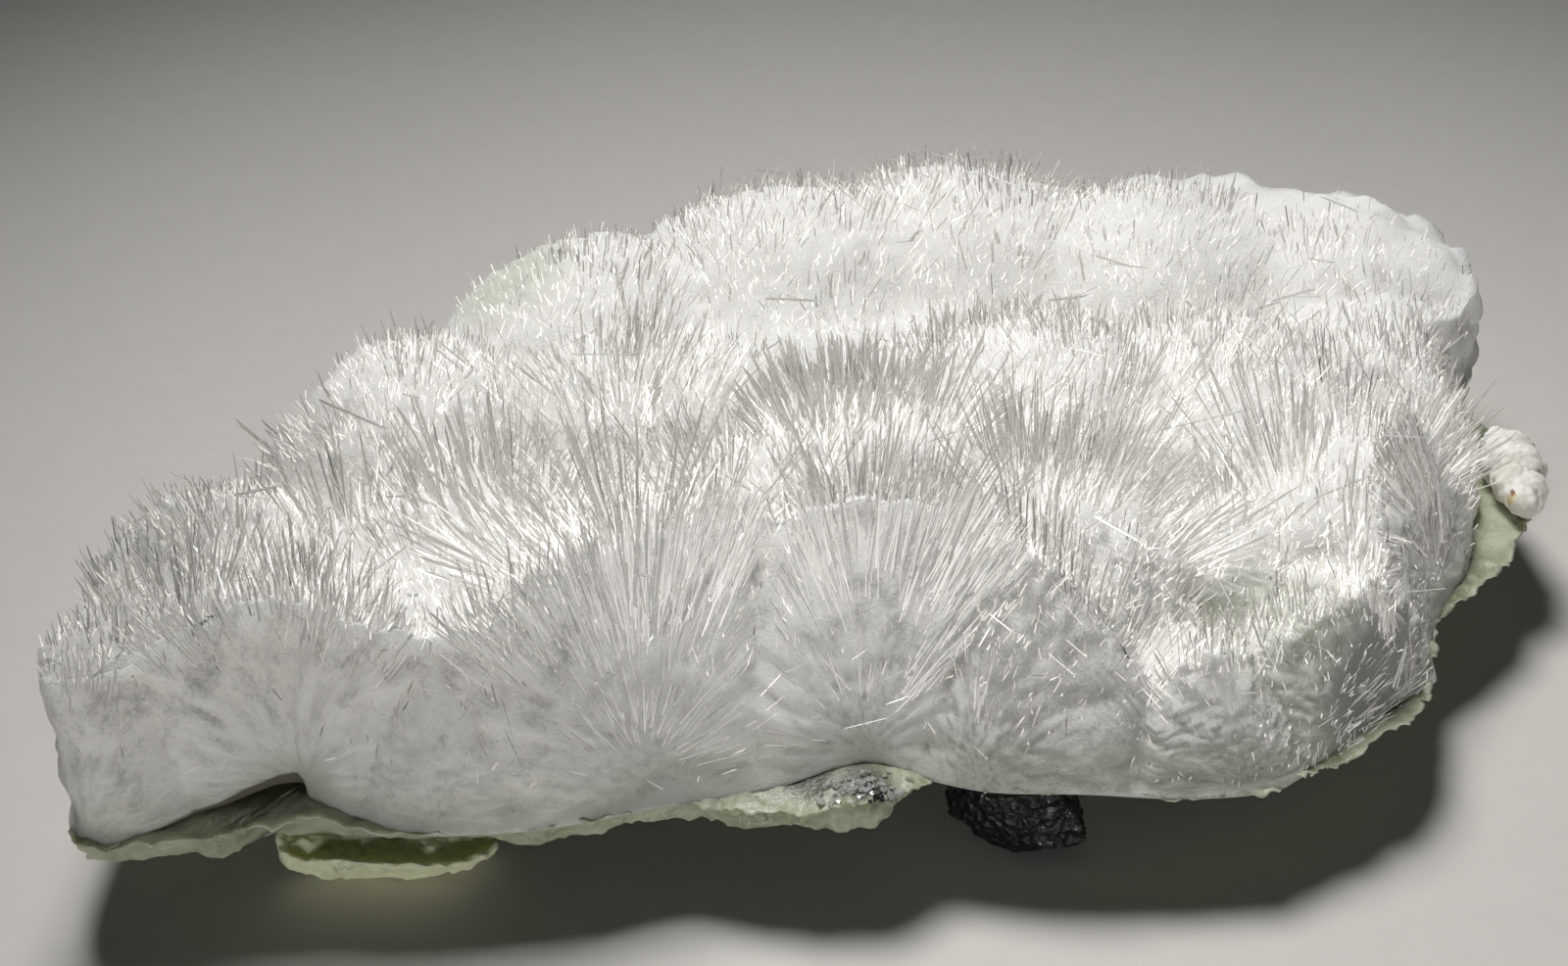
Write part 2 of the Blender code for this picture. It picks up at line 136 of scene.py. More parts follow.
# A tuft is a bunch of needles that stands on the crust: its middle, radius, the angle that its
# needles open to at its rim, its extra lean to the right and to the back, how far it rises out of
# the crust, its needles' width and how crowded they are, both against the usual ones.
Tuft = namedtuple("Tuft", "x y radius spread right back rise width crowd")
NAMED_TUFTS = (
    Tuft(-13.1, -10.8, 3.4, 22, -0.10, 0.10, 4.4, 2.1, 0.55),
    Tuft(-16.5, -8.0, 3.0, 20, -0.15, 0.05, 3.4, 1.7, 0.6),
    Tuft(-21.5, -8.5, 3.2, 24, 0.20, 0.00, 3.2, 1.3, 0.6),
    Tuft(-27.5, -12.0, 3.2, 26, -0.20, 0.05, 2.2, 1.1, 0.6),
    Tuft(-7.5, -13.0, 4.2, 46, -0.10, -0.10, 5.2, 1.2, 0.8),
    Tuft(-12.0, -14.0, 3.0, 26, -0.55, -0.05, 4.2, 1.3, 0.9),
    Tuft(-2.5, -13.5, 3.0, 30, 0.30, -0.05, 4.0, 1.0, 0.9),
    Tuft(3.6, -11.5, 3.4, 38, 0.00, 0.00, 2.6, 0.8, 2.2),
    Tuft(7.5, -11.8, 2.6, 32, 0.25, 0.00, 2.6, 0.8, 1.8),
    Tuft(2.4, -1.2, 5.0, 34, 0.00, 0.05, 2.6, 1.7, 1.5),
    Tuft(7.2, -2.5, 3.6, 30, 0.10, 0.10, 3.0, 1.3, 1.0),
    Tuft(12.0, -7.0, 3.6, 30, 0.00, 0.00, 3.8, 0.9, 1.8),
    Tuft(16.2, -6.8, 3.4, 30, 0.20, 0.05, 3.8, 0.9, 1.8),
    Tuft(19.4, -8.2, 2.8, 26, 0.40, 0.05, 2.8, 0.9, 1.5),
    Tuft(29.0, -9.0, 3.0, 24, 0.10, 0.00, 3.2, 1.1, 1.1),
    Tuft(31.8, -5.4, 3.2, 34, 0.40, 0.00, 3.8, 1.0, 1.5),
    Tuft(33.8, -1.8, 3.0, 30, 0.50, 0.10, 3.4, 1.0, 1.4),
    Tuft(24.5, -3.5, 3.2, 26, -0.10, 0.10, 3.2, 1.2, 0.9),
)
# The grid of the tufts between the named ones.
TUFT_SPACING = 3.9
TUFT_GRID_X = (-34.0, 42.0)
TUFT_GRID_Y = (-24.0, 30.0)
# Left of this they are shorter and thinner.
SPARSE_LEFT = -14.0
# Patches of the crust with few and short needles: x, y and size.
QUIET_PATCHES = ((23.3, -12.6, 3.6), (17.2, -13.6, 3.2), (-1.5, -3.0, 2.6), (-16.0, 13.7, 3.0))
# Crests whose needles crowd so closely that they are grey: x, y, size and how much greyer.
GREY_CRESTS = ((4.2, -11.8, 3.6, 0.6), (2.4, -1.2, 4.0, 0.15), (14.5, -8.0, 5.0, 0.2))
# How freely needles stand out of the broken front, by x. Its silky left and glassy right have few.
FREEDOM_X = (-31.0, -12.0, -7.0, 6.0, 9.0, 12.5, 26.0, 28.0, 33.0)
FREEDOM = (0.35, 0.5, 1.0, 1.0, 0.8, 0.12, 0.12, 0.35, 0.9)
# Needles of the broken front and of its top edge: name, number, shares of the wall's height, lengths,
# how far they stand off, widths against the usual one, whether they are clear, and tones.
FRONT_NEEDLES = (
    ("artinite_open_fibres", 5200, (0.12, 1.0), (1.2, 5.0), (-0.03, 0.03), (0.3, 0.7), False, (0.45, 0.9)),
    ("artinite_open_blades", 220, (0.3, 1.0), (1.5, 6.0), (0.0, 0.12), (0.5, 1.2), True, (0.0, 1.0)),
    ("artinite_crest_fibres", 6000, (0.90, 1.15), (2.0, 5.0), (-0.15, 0.2), (0.35, 0.8), False, (0.2, 0.8)),
    ("artinite_crest_blades", 1000, (0.95, 1.22), (2.0, 5.5), (-0.2, 0.25), (0.5, 1.1), True, (0.0, 1.0)),
)

# Single needles that lie across the others: middle, turn from the right, slope, length and width.
LYING_NEEDLES = (
    (-9.2, 1.8, 2, -2, 3.6, 0.22), (-21.4, -3.3, -30, -4, 4.4, 0.28), (0.6, 9.2, -8, 2, 3.2, 0.20),
    (11.2, -2.3, 40, 6, 3.4, 0.16), (21.5, -2.0, 16, 4, 5.4, 0.12), (19.0, -2.8, 4, -3, 2.0, 0.24),
    (29.5, -2.1, -9, -4, 3.8, 0.16), (15.7, -12.2, -40, -6, 2.9, 0.14), (-3.2, -1.2, 24, 8, 3.0, 0.10),
    (-6.0, -13.6, 34, 6, 3.0, 0.16), (30.2, -5.4, -8, 2, 2.6, 0.14), (8.8, 3.4, 62, 10, 3.2, 0.14),
    (24.6, 1.0, -52, -8, 2.8, 0.12), (-14.6, 2.6, 70, 12, 2.6, 0.16), (27.6, 8.2, 20, 5, 2.8, 0.14),
    (-24.6, -10.6, 12, 6, 2.4, 0.14), (4.6, 6.8, -24, -6, 2.6, 0.12), (15.0, 5.6, 8, 3, 2.2, 0.18),
    (-27.2, -7.6, -48, -6, 2.4, 0.12), (0.2, -9.8, -36, -8, 2.6, 0.12),
)
# How far over the crust the needles above, and thin strays, have their middles.
LYING_LIFT = 2.0
STRAY_LIFT = 1.0
STRAY_NEEDLES = 170
BROKEN_ENDS = 110
# Forms of milky and of clear needles: sides, taper, slant of the broken end and flatness.
MILKY_FORM = (3, 0.9, 0.1, 0.8)
CLEAR_FORM = (4, 0.94, 0.1, 0.6)
# Chips strewn in the open pocket: number, middle, spread and sizes.
POCKET_CRYSTALS = (90, (3.7, -21.5), (1.1, 0.45), (0.10, 0.28))
POCKET_GRAINS = (16, (4.3, -22.0), (0.35, 0.25), (0.12, 0.26))

# Patches of another colour on the mass: the colour, middle, radius and strength.
MASS_PATCHES = (
    ("tinge", (23.3, -13.8, 9.0), 5.5, 0.4), ("tinge", (-16.0, 13.7, 13.0), 5.5, 0.45),
    ("tinge", (3.6, -20.2, 6.8), 1.8, 0.35), ("tinge", (-22.0, -22.0, 6.6), 3.0, 0.3),
    ("glassy", (28.6, -16.0, 8.0), 5.2, 1.0), ("glassy", (-33.0, -19.0, 9.0), 6.0, 0.5),
    # The white patches at the hearts of the front fans are partly crowded fibres and partly painted glow, for
    # light that the fibres lead down to their roots.
    ("white", (-27.3, -21.0, 8.6), 3.4, 0.7), ("white", (-2.7, -20.8, 9.3), 3.0, 0.7),
    ("white", (5.6, -20.0, 9.4), 2.6, 0.7),
)
# Painted shade of the plate's recess and pocket, and of the back of the flake under the plate: middle and
# radius.
PLATE_SHADE_SPOTS = (
    ((-23.0, -20.6, 6.8), 3.4), ((-27.0, -21.0, 6.8), 2.6),
    ((1.2, -20.6, 6.2), 1.6), ((3.6, -21.0, 6.4), 1.8),
)
FLAKE_SHADE_SPOTS = (((-17.6, -18.4, 2.6), 2.4),)
# Stains on the nodule: the colour, middle and radius.
NODULE_STAINS = (
    ("yellow", (38.3, -0.4, 7.3), 0.8), ("rust", (38.4, -0.2, 7.6), 0.4),
    ("yellow", (38.3, -1.5, 7.0), 0.7), ("rust", (38.4, -1.5, 7.2), 0.35),
)
# Half sizes and places of the nodule and of the lump.
NODULE_SIZE = (0.95, 3.7, 1.2)
NODULE_PLACE = (39.4, 2.7, PLATE_TOP + 1.2)
LUMP_SIZE = (2.9, 2.3, 2.9)
LUMP_PLACE = (11.2, -17.7, 2.3)
ARTINITE_IOR = 1.53
# The camera's place over the drawing plane, and its tilt from looking straight down.
CAMERA_PLACE = np.array((0.0, -93.04, 75.6))
CAMERA_TILT = 54
# Lamps: place and target in metres of the part, and spread.
SOFT_LAMP = ((-0.030, 0.068, 0.22), (0.018, -0.030, 0.0), 76)
FRONT_FILL = ((0.0, -0.60, 0.045), (0.0, 0.0, 0.012), 60)
FRONT_FILL_SIZE = 0.13
FLOOR_SIZE = 0.8


def smooth_closed_curve(corners, params):
    """Points of a closed Catmull-Rom curve through the corners, at numbers counted in corners."""
    total = len(corners)
    corner = np.floor(params).astype(int)
    t = (params - corner)[:, None]
    p0, p1, p2, p3 = (corners[(corner + k) % total] for k in (-1, 0, 1, 2))
    bend = 2 * p0 - 5 * p1 + 4 * p2 - p3
    twist = 3 * p1 - p0 - 3 * p2 + p3
    return 0.5 * (2 * p1 + (p2 - p0) * t + bend * t**2 + twist * t**3)


def unit(vectors):
    """The same vectors with a length of one."""
    return vectors / np.linalg.norm(vectors, axis=-1, keepdims=True)


def inward_directions(loop):
    """Level directions that point into a closed anticlockwise loop."""
    along = np.roll(loop, -1, 0) - np.roll(loop, 1, 0)
    return unit(np.column_stack((-along[:, 1], along[:, 0])))


def contact_height(x, y):
    """Top of the plate, where the crust grows on it."""
    height = np.full(np.shape(x), PLATE_TOP)
    for cx, cy, rise, width in PLATE_SWELLS:
        height = height + rise * np.exp(-((x - cx) ** 2 + (y - cy) ** 2) / width**2)
    return height


def merged_domes(x, y, blend, rise=0.0):
    """Height of the sprays' domes, run together: the higher the blend, the sharper their seams."""
    total = (LEAST_CRUST + BACK_FILL * np.clip((y - BACK_START) / BACK_REACH, 0, 1)) ** blend
    for cx, cy, reach in DOMES:
        inside = (BODY_SHARE * reach + rise) ** 2 - (x - cx) ** 2 - (y - cy) ** 2
        total = total + np.sqrt(np.maximum(inside, 0.0)) ** blend
    return total ** (1 / blend)


def crust_thickness(x, y):
    """Thickness of the massive part of the crust."""
    return merged_domes(x, y, DOME_BLEND)


def bristle_height(x, y):
    """Height over the plate that the needles' tips reach."""
    return merged_domes(x, y, BRISTLE_BLEND, BRISTLE_RISE)


def rough(points, size, shift=0.0):
    """Smooth random numbers, about -1 to 1, for an array of points, with bumps of about one size."""
    scaled = np.asarray(points, float) / size + shift
    return np.array([noise.noise(Vector(p)) for p in scaled.tolist()])


def cells(points, size):
    """Distance to the nearest of a field of scattered seeds, in seed spacings."""
    scaled = np.asarray(points, float) / size
    return np.array([noise.voronoi(Vector(p))[0][0] for p in scaled.tolist()])


def knobby(points, size):
    """Rounded knobs of about one size, 0 between them and 1 at their tops."""
    return 1 - np.minimum(cells(points, size), 1.0) ** 1.5


def linked(name, data):
    """A new object in the scene."""
    made = bpy.data.objects.new(name, data)
    bpy.context.scene.collection.objects.link(made)
    return made


def finished(mesh, points, name, smooth=True):
    """Put a bmesh's corners at points of the drawing plane and make it an object in metres of the part."""
    for vert, point in zip(mesh.verts, points):
        vert.co = point
    bmesh.ops.translate(mesh, vec=DRAWING_SHIFT, verts=mesh.verts)
    bmesh.ops.scale(mesh, vec=(MM, MM, MM), verts=mesh.verts)
    for face in mesh.faces:
        face.smooth = smooth
    data = bpy.data.meshes.new(name)
    mesh.to_mesh(data)
    mesh.free()
    return linked(name, data)


def shaped_ball(name, columns, rows, place):
    """A closed mesh of columns and rows whose points come from a function of both arrays.

    Row 0 is the middle of the top, and the last row the middle of the underside.
    """
    mesh = bmesh.new()
    bmesh.ops.create_uvsphere(mesh, u_segments=columns, v_segments=rows, radius=1.0)
    ball = np.array([v.co for v in mesh.verts])
    row = np.rint(np.arccos(np.clip(ball[:, 2], -1, 1)) / math.pi * rows).astype(int)
    column = np.rint(np.arctan2(ball[:, 1], ball[:, 0]) / math.tau * columns).astype(int) % columns
    return finished(mesh, place(column, row), name)


def round_ball(subdivisions):
    """A new ball of triangles and the places of its corners."""
    mesh = bmesh.new()
    bmesh.ops.create_icosphere(mesh, subdivisions=subdivisions, radius=1.0)
    return mesh, np.array([v.co for v in mesh.verts])


def taken_apart(mesh):
    """Corners and triangles of a bmesh, which is freed."""
    corners = np.array([v.co for v in mesh.verts])
    triangles = np.array([[v.index for v in f.verts] for f in mesh.faces])
    mesh.free()
    return corners, triangles


def read_values(items, field, width, kind=float):
    """One field of all the items of a mesh, as an array."""
    values = np.empty(len(items) * width, kind)
    items.foreach_get(field, values)
    return values.reshape(-1, width) if width > 1 else values


def store_values(data, name, values, domain):
    """Store a number or a vector for each point or face corner of a mesh."""
    kind, field = ("FLOAT", "value") if values.ndim == 1 else ("FLOAT_VECTOR", "vector")
    data.attributes.new(name, kind, domain).data.foreach_set(field, values.ravel())


def front_weight(params):
    """1 along the broken front and left end, 0 along the grown back, for numbers in outline corners."""
    total = len(CRUST_OUTLINE)
    middle = (FRONT_CORNERS - LEFT_CORNERS) / 2
    around = np.abs((params - middle + total / 2) % total - total / 2)
    return np.clip((FRONT_CORNERS + LEFT_CORNERS) / 2 - around, 0.0, 1.0)


class CrustRows:
    """How the rows and columns of the crust's mesh are shared out."""

    columns = 600
    front_columns = 384
    top = 76
    wall = 80
    under = 8
    rows = top + wall + under


def crust_columns():
    """For each column: its number in outline corners, foot, inward direction, run and height."""
    start = -1.5
    ahead = np.linspace(start, FRONT_CORNERS, CrustRows.front_columns, endpoint=False)
    back_count = CrustRows.columns - len(ahead)
    back = np.linspace(FRONT_CORNERS, len(CRUST_OUTLINE) + start, back_count, endpoint=False)
    params = np.concatenate((ahead, back))
    curve = smooth_closed_curve(CRUST_OUTLINE, params)
    foot = curve[:, :2]
    inward = inward_directions(foot)
    run = np.zeros(len(foot))
    for _ in range(6):
        top = foot + run[:, None] * inward
        run = curve[:, 2] * crust_thickness(top[:, 0], top[:, 1])
    top = foot + run[:, None] * inward
    return params, foot, inward, run, crust_thickness(top[:, 0], top[:, 1])


def spray_centres():
    """Places that the sprays grow from, on the plate."""
    centres = SPRAYS[:, :3].copy()
    centres[:, 2] += contact_height(centres[:, 0], centres[:, 1])
    return centres


def nearest_spray(points):
    """The spray that each point belongs to: index, direction and distance from it, and how far the
    point is from the seam where two sprays meet, as a share of their reach."""
    apart = points[:, None, :] - spray_centres()[None]
    distance = np.linalg.norm(apart, axis=2)
    share = distance / SPRAYS[:, 3]
    owner = np.argmin(share, axis=1)
    pick = np.arange(len(points))
    span = np.maximum(distance[pick, owner], 1e-3)
    two = np.partition(share, 1, axis=1)
    return owner, apart[pick, owner] / span[:, None], span, two[:, 1] - two[:, 0]


def compact_rim(x, y):
    """1 in the compact, lumpy right rear corner of the crust, 0 elsewhere."""
    along = (x - 30.0) * 0.6 + (y - 21.0) * 0.8
    return 1 / (1 + np.exp(-(along + 1.0) / 0.8)) * 1 / (1 + np.exp(-(x - 20.0) / 1.5))


# The recess under the left part of the crust: its ends, depth and height.
RECESS_X = (-30.5, -21.6)
RECESS_DEPTH = 0.4
RECESS_HEIGHT = 1.1
# Relief of the crust: the flare of its foot, seams between sprays, lumps, ridges, teeth and knobs.
FOOT_FLARE = 0.45
SEAM_GROOVE = 0.5
WALL_LUMPS = 0.26
WALL_RIDGES = 0.22
CREST_TEETH = 0.45
RIM_KNOB_HEIGHT = 1.0
# The flat broken face at the right end.
FACET_POINT = np.array((24.2, -19.4, 5.7))
FACET_NORMAL = np.array((0.616, -0.727, 0.304))


def recess_height(x, y):
    """Height of the dark wedge-shaped recess under the left part of the crust, highest at its right end."""
    low, high = RECESS_X
    rise = np.clip((x - low) / (high - low), 0, 1)
    return RECESS_HEIGHT * rise * np.clip((high + 0.3 - x) / 0.6, 0, 1) * (y < -15)


def crust_points(column, row):
    """Places of the crust's mesh: a domed top, a broken leaning wall and a flat underside."""
    params, foot, inward, run, height = (a[column] for a in crust_columns())
    r = CrustRows
    share_top = np.clip(1.0 - row / r.top, 0, 1)
    share_wall = np.clip(1.0 - (row - r.top) / r.wall, 0, 1)
    share_under = np.clip((row - r.top - r.wall) / r.under, 0, 1)
    on_top = row <= r.top
    front = front_weight(params)
    recess = recess_height(*foot.T)
    low = recess / np.maximum(height, 1.0)
    opened = RECESS_DEPTH * np.clip((low - share_wall) / 0.04, 0, 1) * np.clip(recess / 0.3, 0, 1)
    opened -= FOOT_FLARE * np.clip(1 - share_wall / 0.12, 0, 1) ** 1.5 * np.clip(1 - recess, 0, 1) * front
    edge = foot + (run * share_wall**1.5 + opened)[:, None] * inward
    flat = edge + (MIDDLE - edge) * np.where(on_top, share_top, share_under)[:, None]
    x, y = flat.T
    from_edge = np.linalg.norm(flat - edge, axis=1)
    rim = compact_rim(x, y)
    near_front = front * np.exp(-((from_edge / 1.6) ** 2))
    thick_top = crust_thickness(x, y) * (TOP_SUNK + (1 - TOP_SUNK) * np.maximum(near_front, rim))
    thick_wall = height * (TOP_SUNK + (1 - TOP_SUNK) * np.maximum(front, rim)) * share_wall
    thick = np.where(on_top, thick_top, np.where(row >= r.top + r.wall, 0.0, thick_wall))
    points = np.column_stack((x, y, contact_height(x, y) - SUNK_IN_PLATE + thick))
    _, growth, span, seam = nearest_spray(points)
    ridges = rough(growth * 9 + span[:, None] * 0.12, 1.0) + 0.6 * rough(growth * 22, 1.0, 7.0)
    teeth = rough(growth * 17, 1.0, 3.0) + 0.7 * rough(growth * 37, 1.0, 5.0)
    lumps = rough(points, 3.4, 11.0) + 0.5 * rough(points, 1.5, 4.0)
    grooves = SEAM_GROOVE * (np.clip(seam / 0.22, 0, 1) ** 0.6 - 0.8)
    push = WALL_LUMPS * lumps + WALL_RIDGES * ridges * np.clip(span / 3, 0, 1) * (1 - rim)
    push += grooves * (1 - rim)
    push += rim * (RIM_KNOB_HEIGHT * knobby(points, 2.6) + 0.35 * knobby(points, 0.9) - 0.5)
    is_wall = (row > r.top - 1) & (row < r.top + r.wall)
    outward = np.column_stack((-inward, np.zeros(len(x))))
    points += np.where(is_wall, push * np.clip(share_wall / 0.1, 0.2, 1), 0.0)[:, None] * outward
    crest = front * np.where(on_top, np.exp(-((from_edge / 0.5) ** 2)), np.clip(share_wall * 8 - 7, 0, 1))
    points[:, 2] += np.where(on_top, push, 0.0) + CREST_TEETH * teeth * crest
    beyond = (points - FACET_POINT) @ FACET_NORMAL - 0.15 * lumps
    beyond = np.maximum(beyond, 0.0) * (x > 20.0) * (y < -8.0) * (share_under == 0)
    return points - beyond[:, None] * FACET_NORMAL


def store_growth(piece):
    """Store, on each face corner, the direction and distance from the spray that the face belongs to.

    Also how near its reach it is, where the recess under the left part takes its painted shade, and where the
    crust is cut across its fibres.
    """
    data = piece.data
    points, centres = (
        read_values(items, field, 3) / MM - DRAWING_SHIFT
        for items, field in ((data.vertices, "co"), (data.polygons, "center"))
    )
    sizes = read_values(data.polygons, "loop_total", 1, int)
    owner = np.repeat(nearest_spray(centres)[0], sizes)
    corners = points[read_values(data.loops, "vertex_index", 1, int)]
    apart = corners - spray_centres()[owner]
    span = np.maximum(np.linalg.norm(apart, axis=1), 1e-3)
    x, y, z = corners.T
    # painted shade: the mass inside the recess under the left part is marked to be painted olive grey for the
    # shade that falls there
    recess_shade_mask = np.clip((recess_height(x, y) - z + contact_height(x, y)) / 0.25, 0, 1) * (y < -18)
    steep = np.repeat(np.clip((0.93 - read_values(data.polygons, "normal", 3)[:, 2]) / 0.25, 0, 1), sizes)
    for name, values in (
        ("growth", apart / span[:, None]), ("span", span), ("ripe", span / SPRAYS[owner, 3]), ("recess_shade_mask", recess_shade_mask),
        ("cut", steep * np.clip((-8 - y) / 4, 0, 1)),
    ):
        store_values(data, name, values, "CORNER")


def needle_form(sides, taper, slant):
    """Corners and triangles of one needle, a unit long along Z with a unit radius at its root."""
    mesh = bmesh.new()
    bmesh.ops.create_cone(mesh, cap_ends=True, segments=sides, radius1=1.0, radius2=taper, depth=1.0)
    bmesh.ops.translate(mesh, vec=(0, 0, 0.5), verts=mesh.verts)
    for vert in mesh.verts:
        if vert.co.z > 0.5:
            vert.co.z -= slant * (vert.co.x + taper)
    bmesh.ops.triangulate(mesh, faces=mesh.faces)
    return taken_apart(mesh)


def laid_needles(name, form, roots, tips, facing, widths, flatness, tones, rng):
    """One mesh of many needles, each from its root to its tip with its own width and turn.

    Facing is the way that the mass around each needle faces, for the light that reaches it from there.
    """
    corners, triangles = form
    count = len(roots)
    length = np.linalg.norm(tips - roots, axis=1)
    axis = (tips - roots) / length[:, None]
    helper = np.where(np.abs(axis[:, 2:]) < 0.9, np.array((0.0, 0, 1)), np.array((1.0, 0, 0)))
    side = unit(np.cross(helper, axis))
    turn = rng.uniform(0, math.tau, count)
    across = side * np.cos(turn)[:, None] + np.cross(axis, side) * np.sin(turn)[:, None]
    up = np.cross(axis, across)
    half = (widths / 2)[:, None, None]
    points = (
        roots[:, None, :]
        + corners[None, :, 0:1] * across[:, None, :] * half
        + corners[None, :, 1:2] * up[:, None, :] * half * flatness
        + corners[None, :, 2:3] * axis[:, None, :] * length[:, None, None]
    )
    points = (points.reshape(-1, 3) + DRAWING_SHIFT) * MM
    faces = (triangles[None] + (np.arange(count) * len(corners))[:, None, None]).reshape(-1, 3)
    data = bpy.data.meshes.new(name)
    data.from_pydata(points, [], faces)
    x, y, z = roots.T
    # painted light: needles rooted low in the valleys are painted whiter and those high on the crests greyer,
    # for light that the crust carries down
    greyer = np.clip(0.04 * (z - 14), -0.25, 0.25) + 0.7 * np.clip((-20 - x) / 10, 0, 1)
    for cx, cy, size, strength in GREY_CRESTS:
        greyer = greyer + strength * np.exp(-(((x - cx) ** 2 + (y - cy) ** 2) / size**2))
    tone = np.clip(rng.uniform(*tones, count) + greyer, 0, 1)
    store_values(data, "tone", np.repeat(tone, len(corners)), "POINT")
    store_values(data, "along", np.tile(np.clip(corners[:, 2], 0, 1), count), "POINT")
    store_values(data, "facing", np.repeat(facing, len(corners), 0), "POINT")
    return linked(name, data)


class BrokenFront:
    """The crust's surface, and how far inside its broken front, or its grown back, points lie."""

    step = 0.5
    margin = 12
    back_freedom = 2.0

    def __init__(self):
        self.tree = tree_of(bpy.data.objects["artinite_mass"])
        self.params, self.foot, self.inward, self.run, self.height = crust_columns()
        self.low = self.foot.min(0) - self.margin
        size = np.ceil((self.foot.max(0) + self.margin - self.low) / self.step).astype(int)
        lines = [self.low[k] + self.step * np.arange(size[k]) for k in (0, 1)]
        gx, gy = np.meshgrid(*lines, indexing="ij")
        places = np.column_stack((gx.ravel(), gy.ravel()))
        apart = ((places[:, None, :] - self.foot[None]) ** 2).sum(2)
        self.column = apart.argmin(1).reshape(gx.shape)
        self.most = np.array(gx.shape) - 1

    def lean(self, column, share):
        """How far behind its foot the wall's surface is, at a share of its height."""
        return self.run[column] * np.where(share < 1, share**1.5, share)

    def depth(self, points):
        """Level distance behind the wall's surface. The back lets needles grow past its edge."""
        flat = points[:, :2]
        cell = np.clip(np.rint((flat - self.low) / self.step).astype(int), 0, self.most)
        column = self.column[cell[:, 0], cell[:, 1]]
        inside = np.einsum("ij,ij->i", flat - self.foot[column], self.inward[column])
        share = np.clip((points[:, 2] - contact_height(*flat.T)) / self.height[column], 0, None)
        wall = self.lean(column, share) - 0.3 * (share > 0.95)
        front = front_weight(self.params[column])
        return inside - wall * front + (1 - front) * self.back_freedom

    def random_places(self, rng, count, share_range, raised=0.0):
        """Places on the broken front: their columns, shares of its height, and points."""
        column = rng.choice(np.flatnonzero(front_weight(self.params) > 0.9), count)
        share = rng.uniform(*share_range, count)
        flat = self.foot[column] + (self.lean(column, share) - raised)[:, None] * self.inward[column]
        level = contact_height(*flat.T) + self.height[column] * share
        return column, share, np.column_stack((flat, level))


def tree_of(piece):
    """Search tree of a piece in millimetres of the drawing plane."""
    mesh = bmesh.new()
    mesh.from_mesh(piece.data)
    bmesh.ops.scale(mesh, vec=(1 / MM, 1 / MM, 1 / MM), verts=mesh.verts)
    bmesh.ops.translate(mesh, vec=-DRAWING_SHIFT, verts=mesh.verts)
    found = BVHTree.FromBMesh(mesh)
    mesh.free()
    return found


def top_at(tree, x, y):
    """The highest point of a piece over a place, or None."""
    return tree.ray_cast(Vector((x, y, ABOVE_ALL)), Vector((0, 0, -1)))[0]


def spread_tufts(rng):
    """The named tufts, and others between them on a jittered grid over the crust."""
    tufts = list(NAMED_TUFTS)
    loop = smooth_closed_curve(CRUST_OUTLINE, np.linspace(0, len(CRUST_OUTLINE), 200, endpoint=False))
    foot = loop[:, :2]
    inward = inward_directions(foot)
    for gx in np.arange(*TUFT_GRID_X, TUFT_SPACING):
        for gy in np.arange(*TUFT_GRID_Y, TUFT_SPACING):
            x, y = np.array((gx, gy)) + rng.uniform(-1.6, 1.6, 2)
            right, back, rise, width, crowd = rng.normal(0, 0.22), rng.normal(0.05, 0.18), *rng.random(3)
            nearest = ((foot - (x, y)) ** 2).sum(1).argmin()
            inside = np.dot((x, y) - foot[nearest], inward[nearest])
            close = min(math.hypot(x - t.x, y - t.y) - 0.85 * t.radius for t in NAMED_TUFTS)
            if inside < 0.4 or close < 0.3 or compact_rim(x, y) > 0.5:
                continue
            quiet = min(math.hypot(x - qx, y - qy) / size for qx, qy, size in QUIET_PATCHES) < 1
            far = 1.0 - 0.6 * np.clip((y + 2) / 14, 0, 1)
            tall = (1.2 + 2.4 * rise**1.5) * far * (0.35 if quiet else 1.0)
            crowded = (0.5 + 1.0 * crowd) * (0.4 if quiet else 1.0) * far**1.5
            if x < SPARSE_LEFT:
                tall, crowded = 0.7 * tall, 0.55 * crowded
            stout = 0.7 + 0.9 * width**2
            radius, spread = rng.uniform(2.0, 3.4), rng.uniform(12, 28)
            tufts.append(Tuft(x, y, radius, spread, right, back, tall, stout, crowded))
    return tufts


def tuft_needles(rng, tuft, count, rise_range, front):
    """Needles of one tuft, shorter towards its rim."""
    top = top_at(front.tree, tuft.x, tuft.y)
    middle = np.array(top) if top else np.array((tuft.x, tuft.y, PLATE_TOP + LEAST_CRUST))
    growth = nearest_spray(middle[None])[1][0]
    aim = unit(0.4 * growth + np.array((tuft.right, tuft.back, 0.6)))
    side = unit(np.cross(aim, (0.0, 1.0, 0.0)))
    other = np.cross(side, aim)
    origin = middle - aim * tuft.radius / math.tan(math.radians(tuft.spread))
    share = np.sqrt(rng.random(count)) * rng.uniform(0.7, 1.15, count)
    turn = rng.uniform(0, math.tau, count)
    offset = tuft.radius * share
    spots = middle + offset[:, None] * (np.cos(turn)[:, None] * side + np.sin(turn)[:, None] * other)
    aims = unit(unit(spots - origin) + rng.normal(0, 0.09, (count, 3)))
    flat = spots[:, :2].T
    hollow = np.clip(bristle_height(*flat) - TOP_SUNK * crust_thickness(*flat) - 1.0, 0, 3)
    rise = (tuft.rise * (1 - 0.45 * np.clip(share, 0, 1) ** 2) + hollow) * rng.uniform(*rise_range, count)
    return rooted(spots, aims, rise, front)


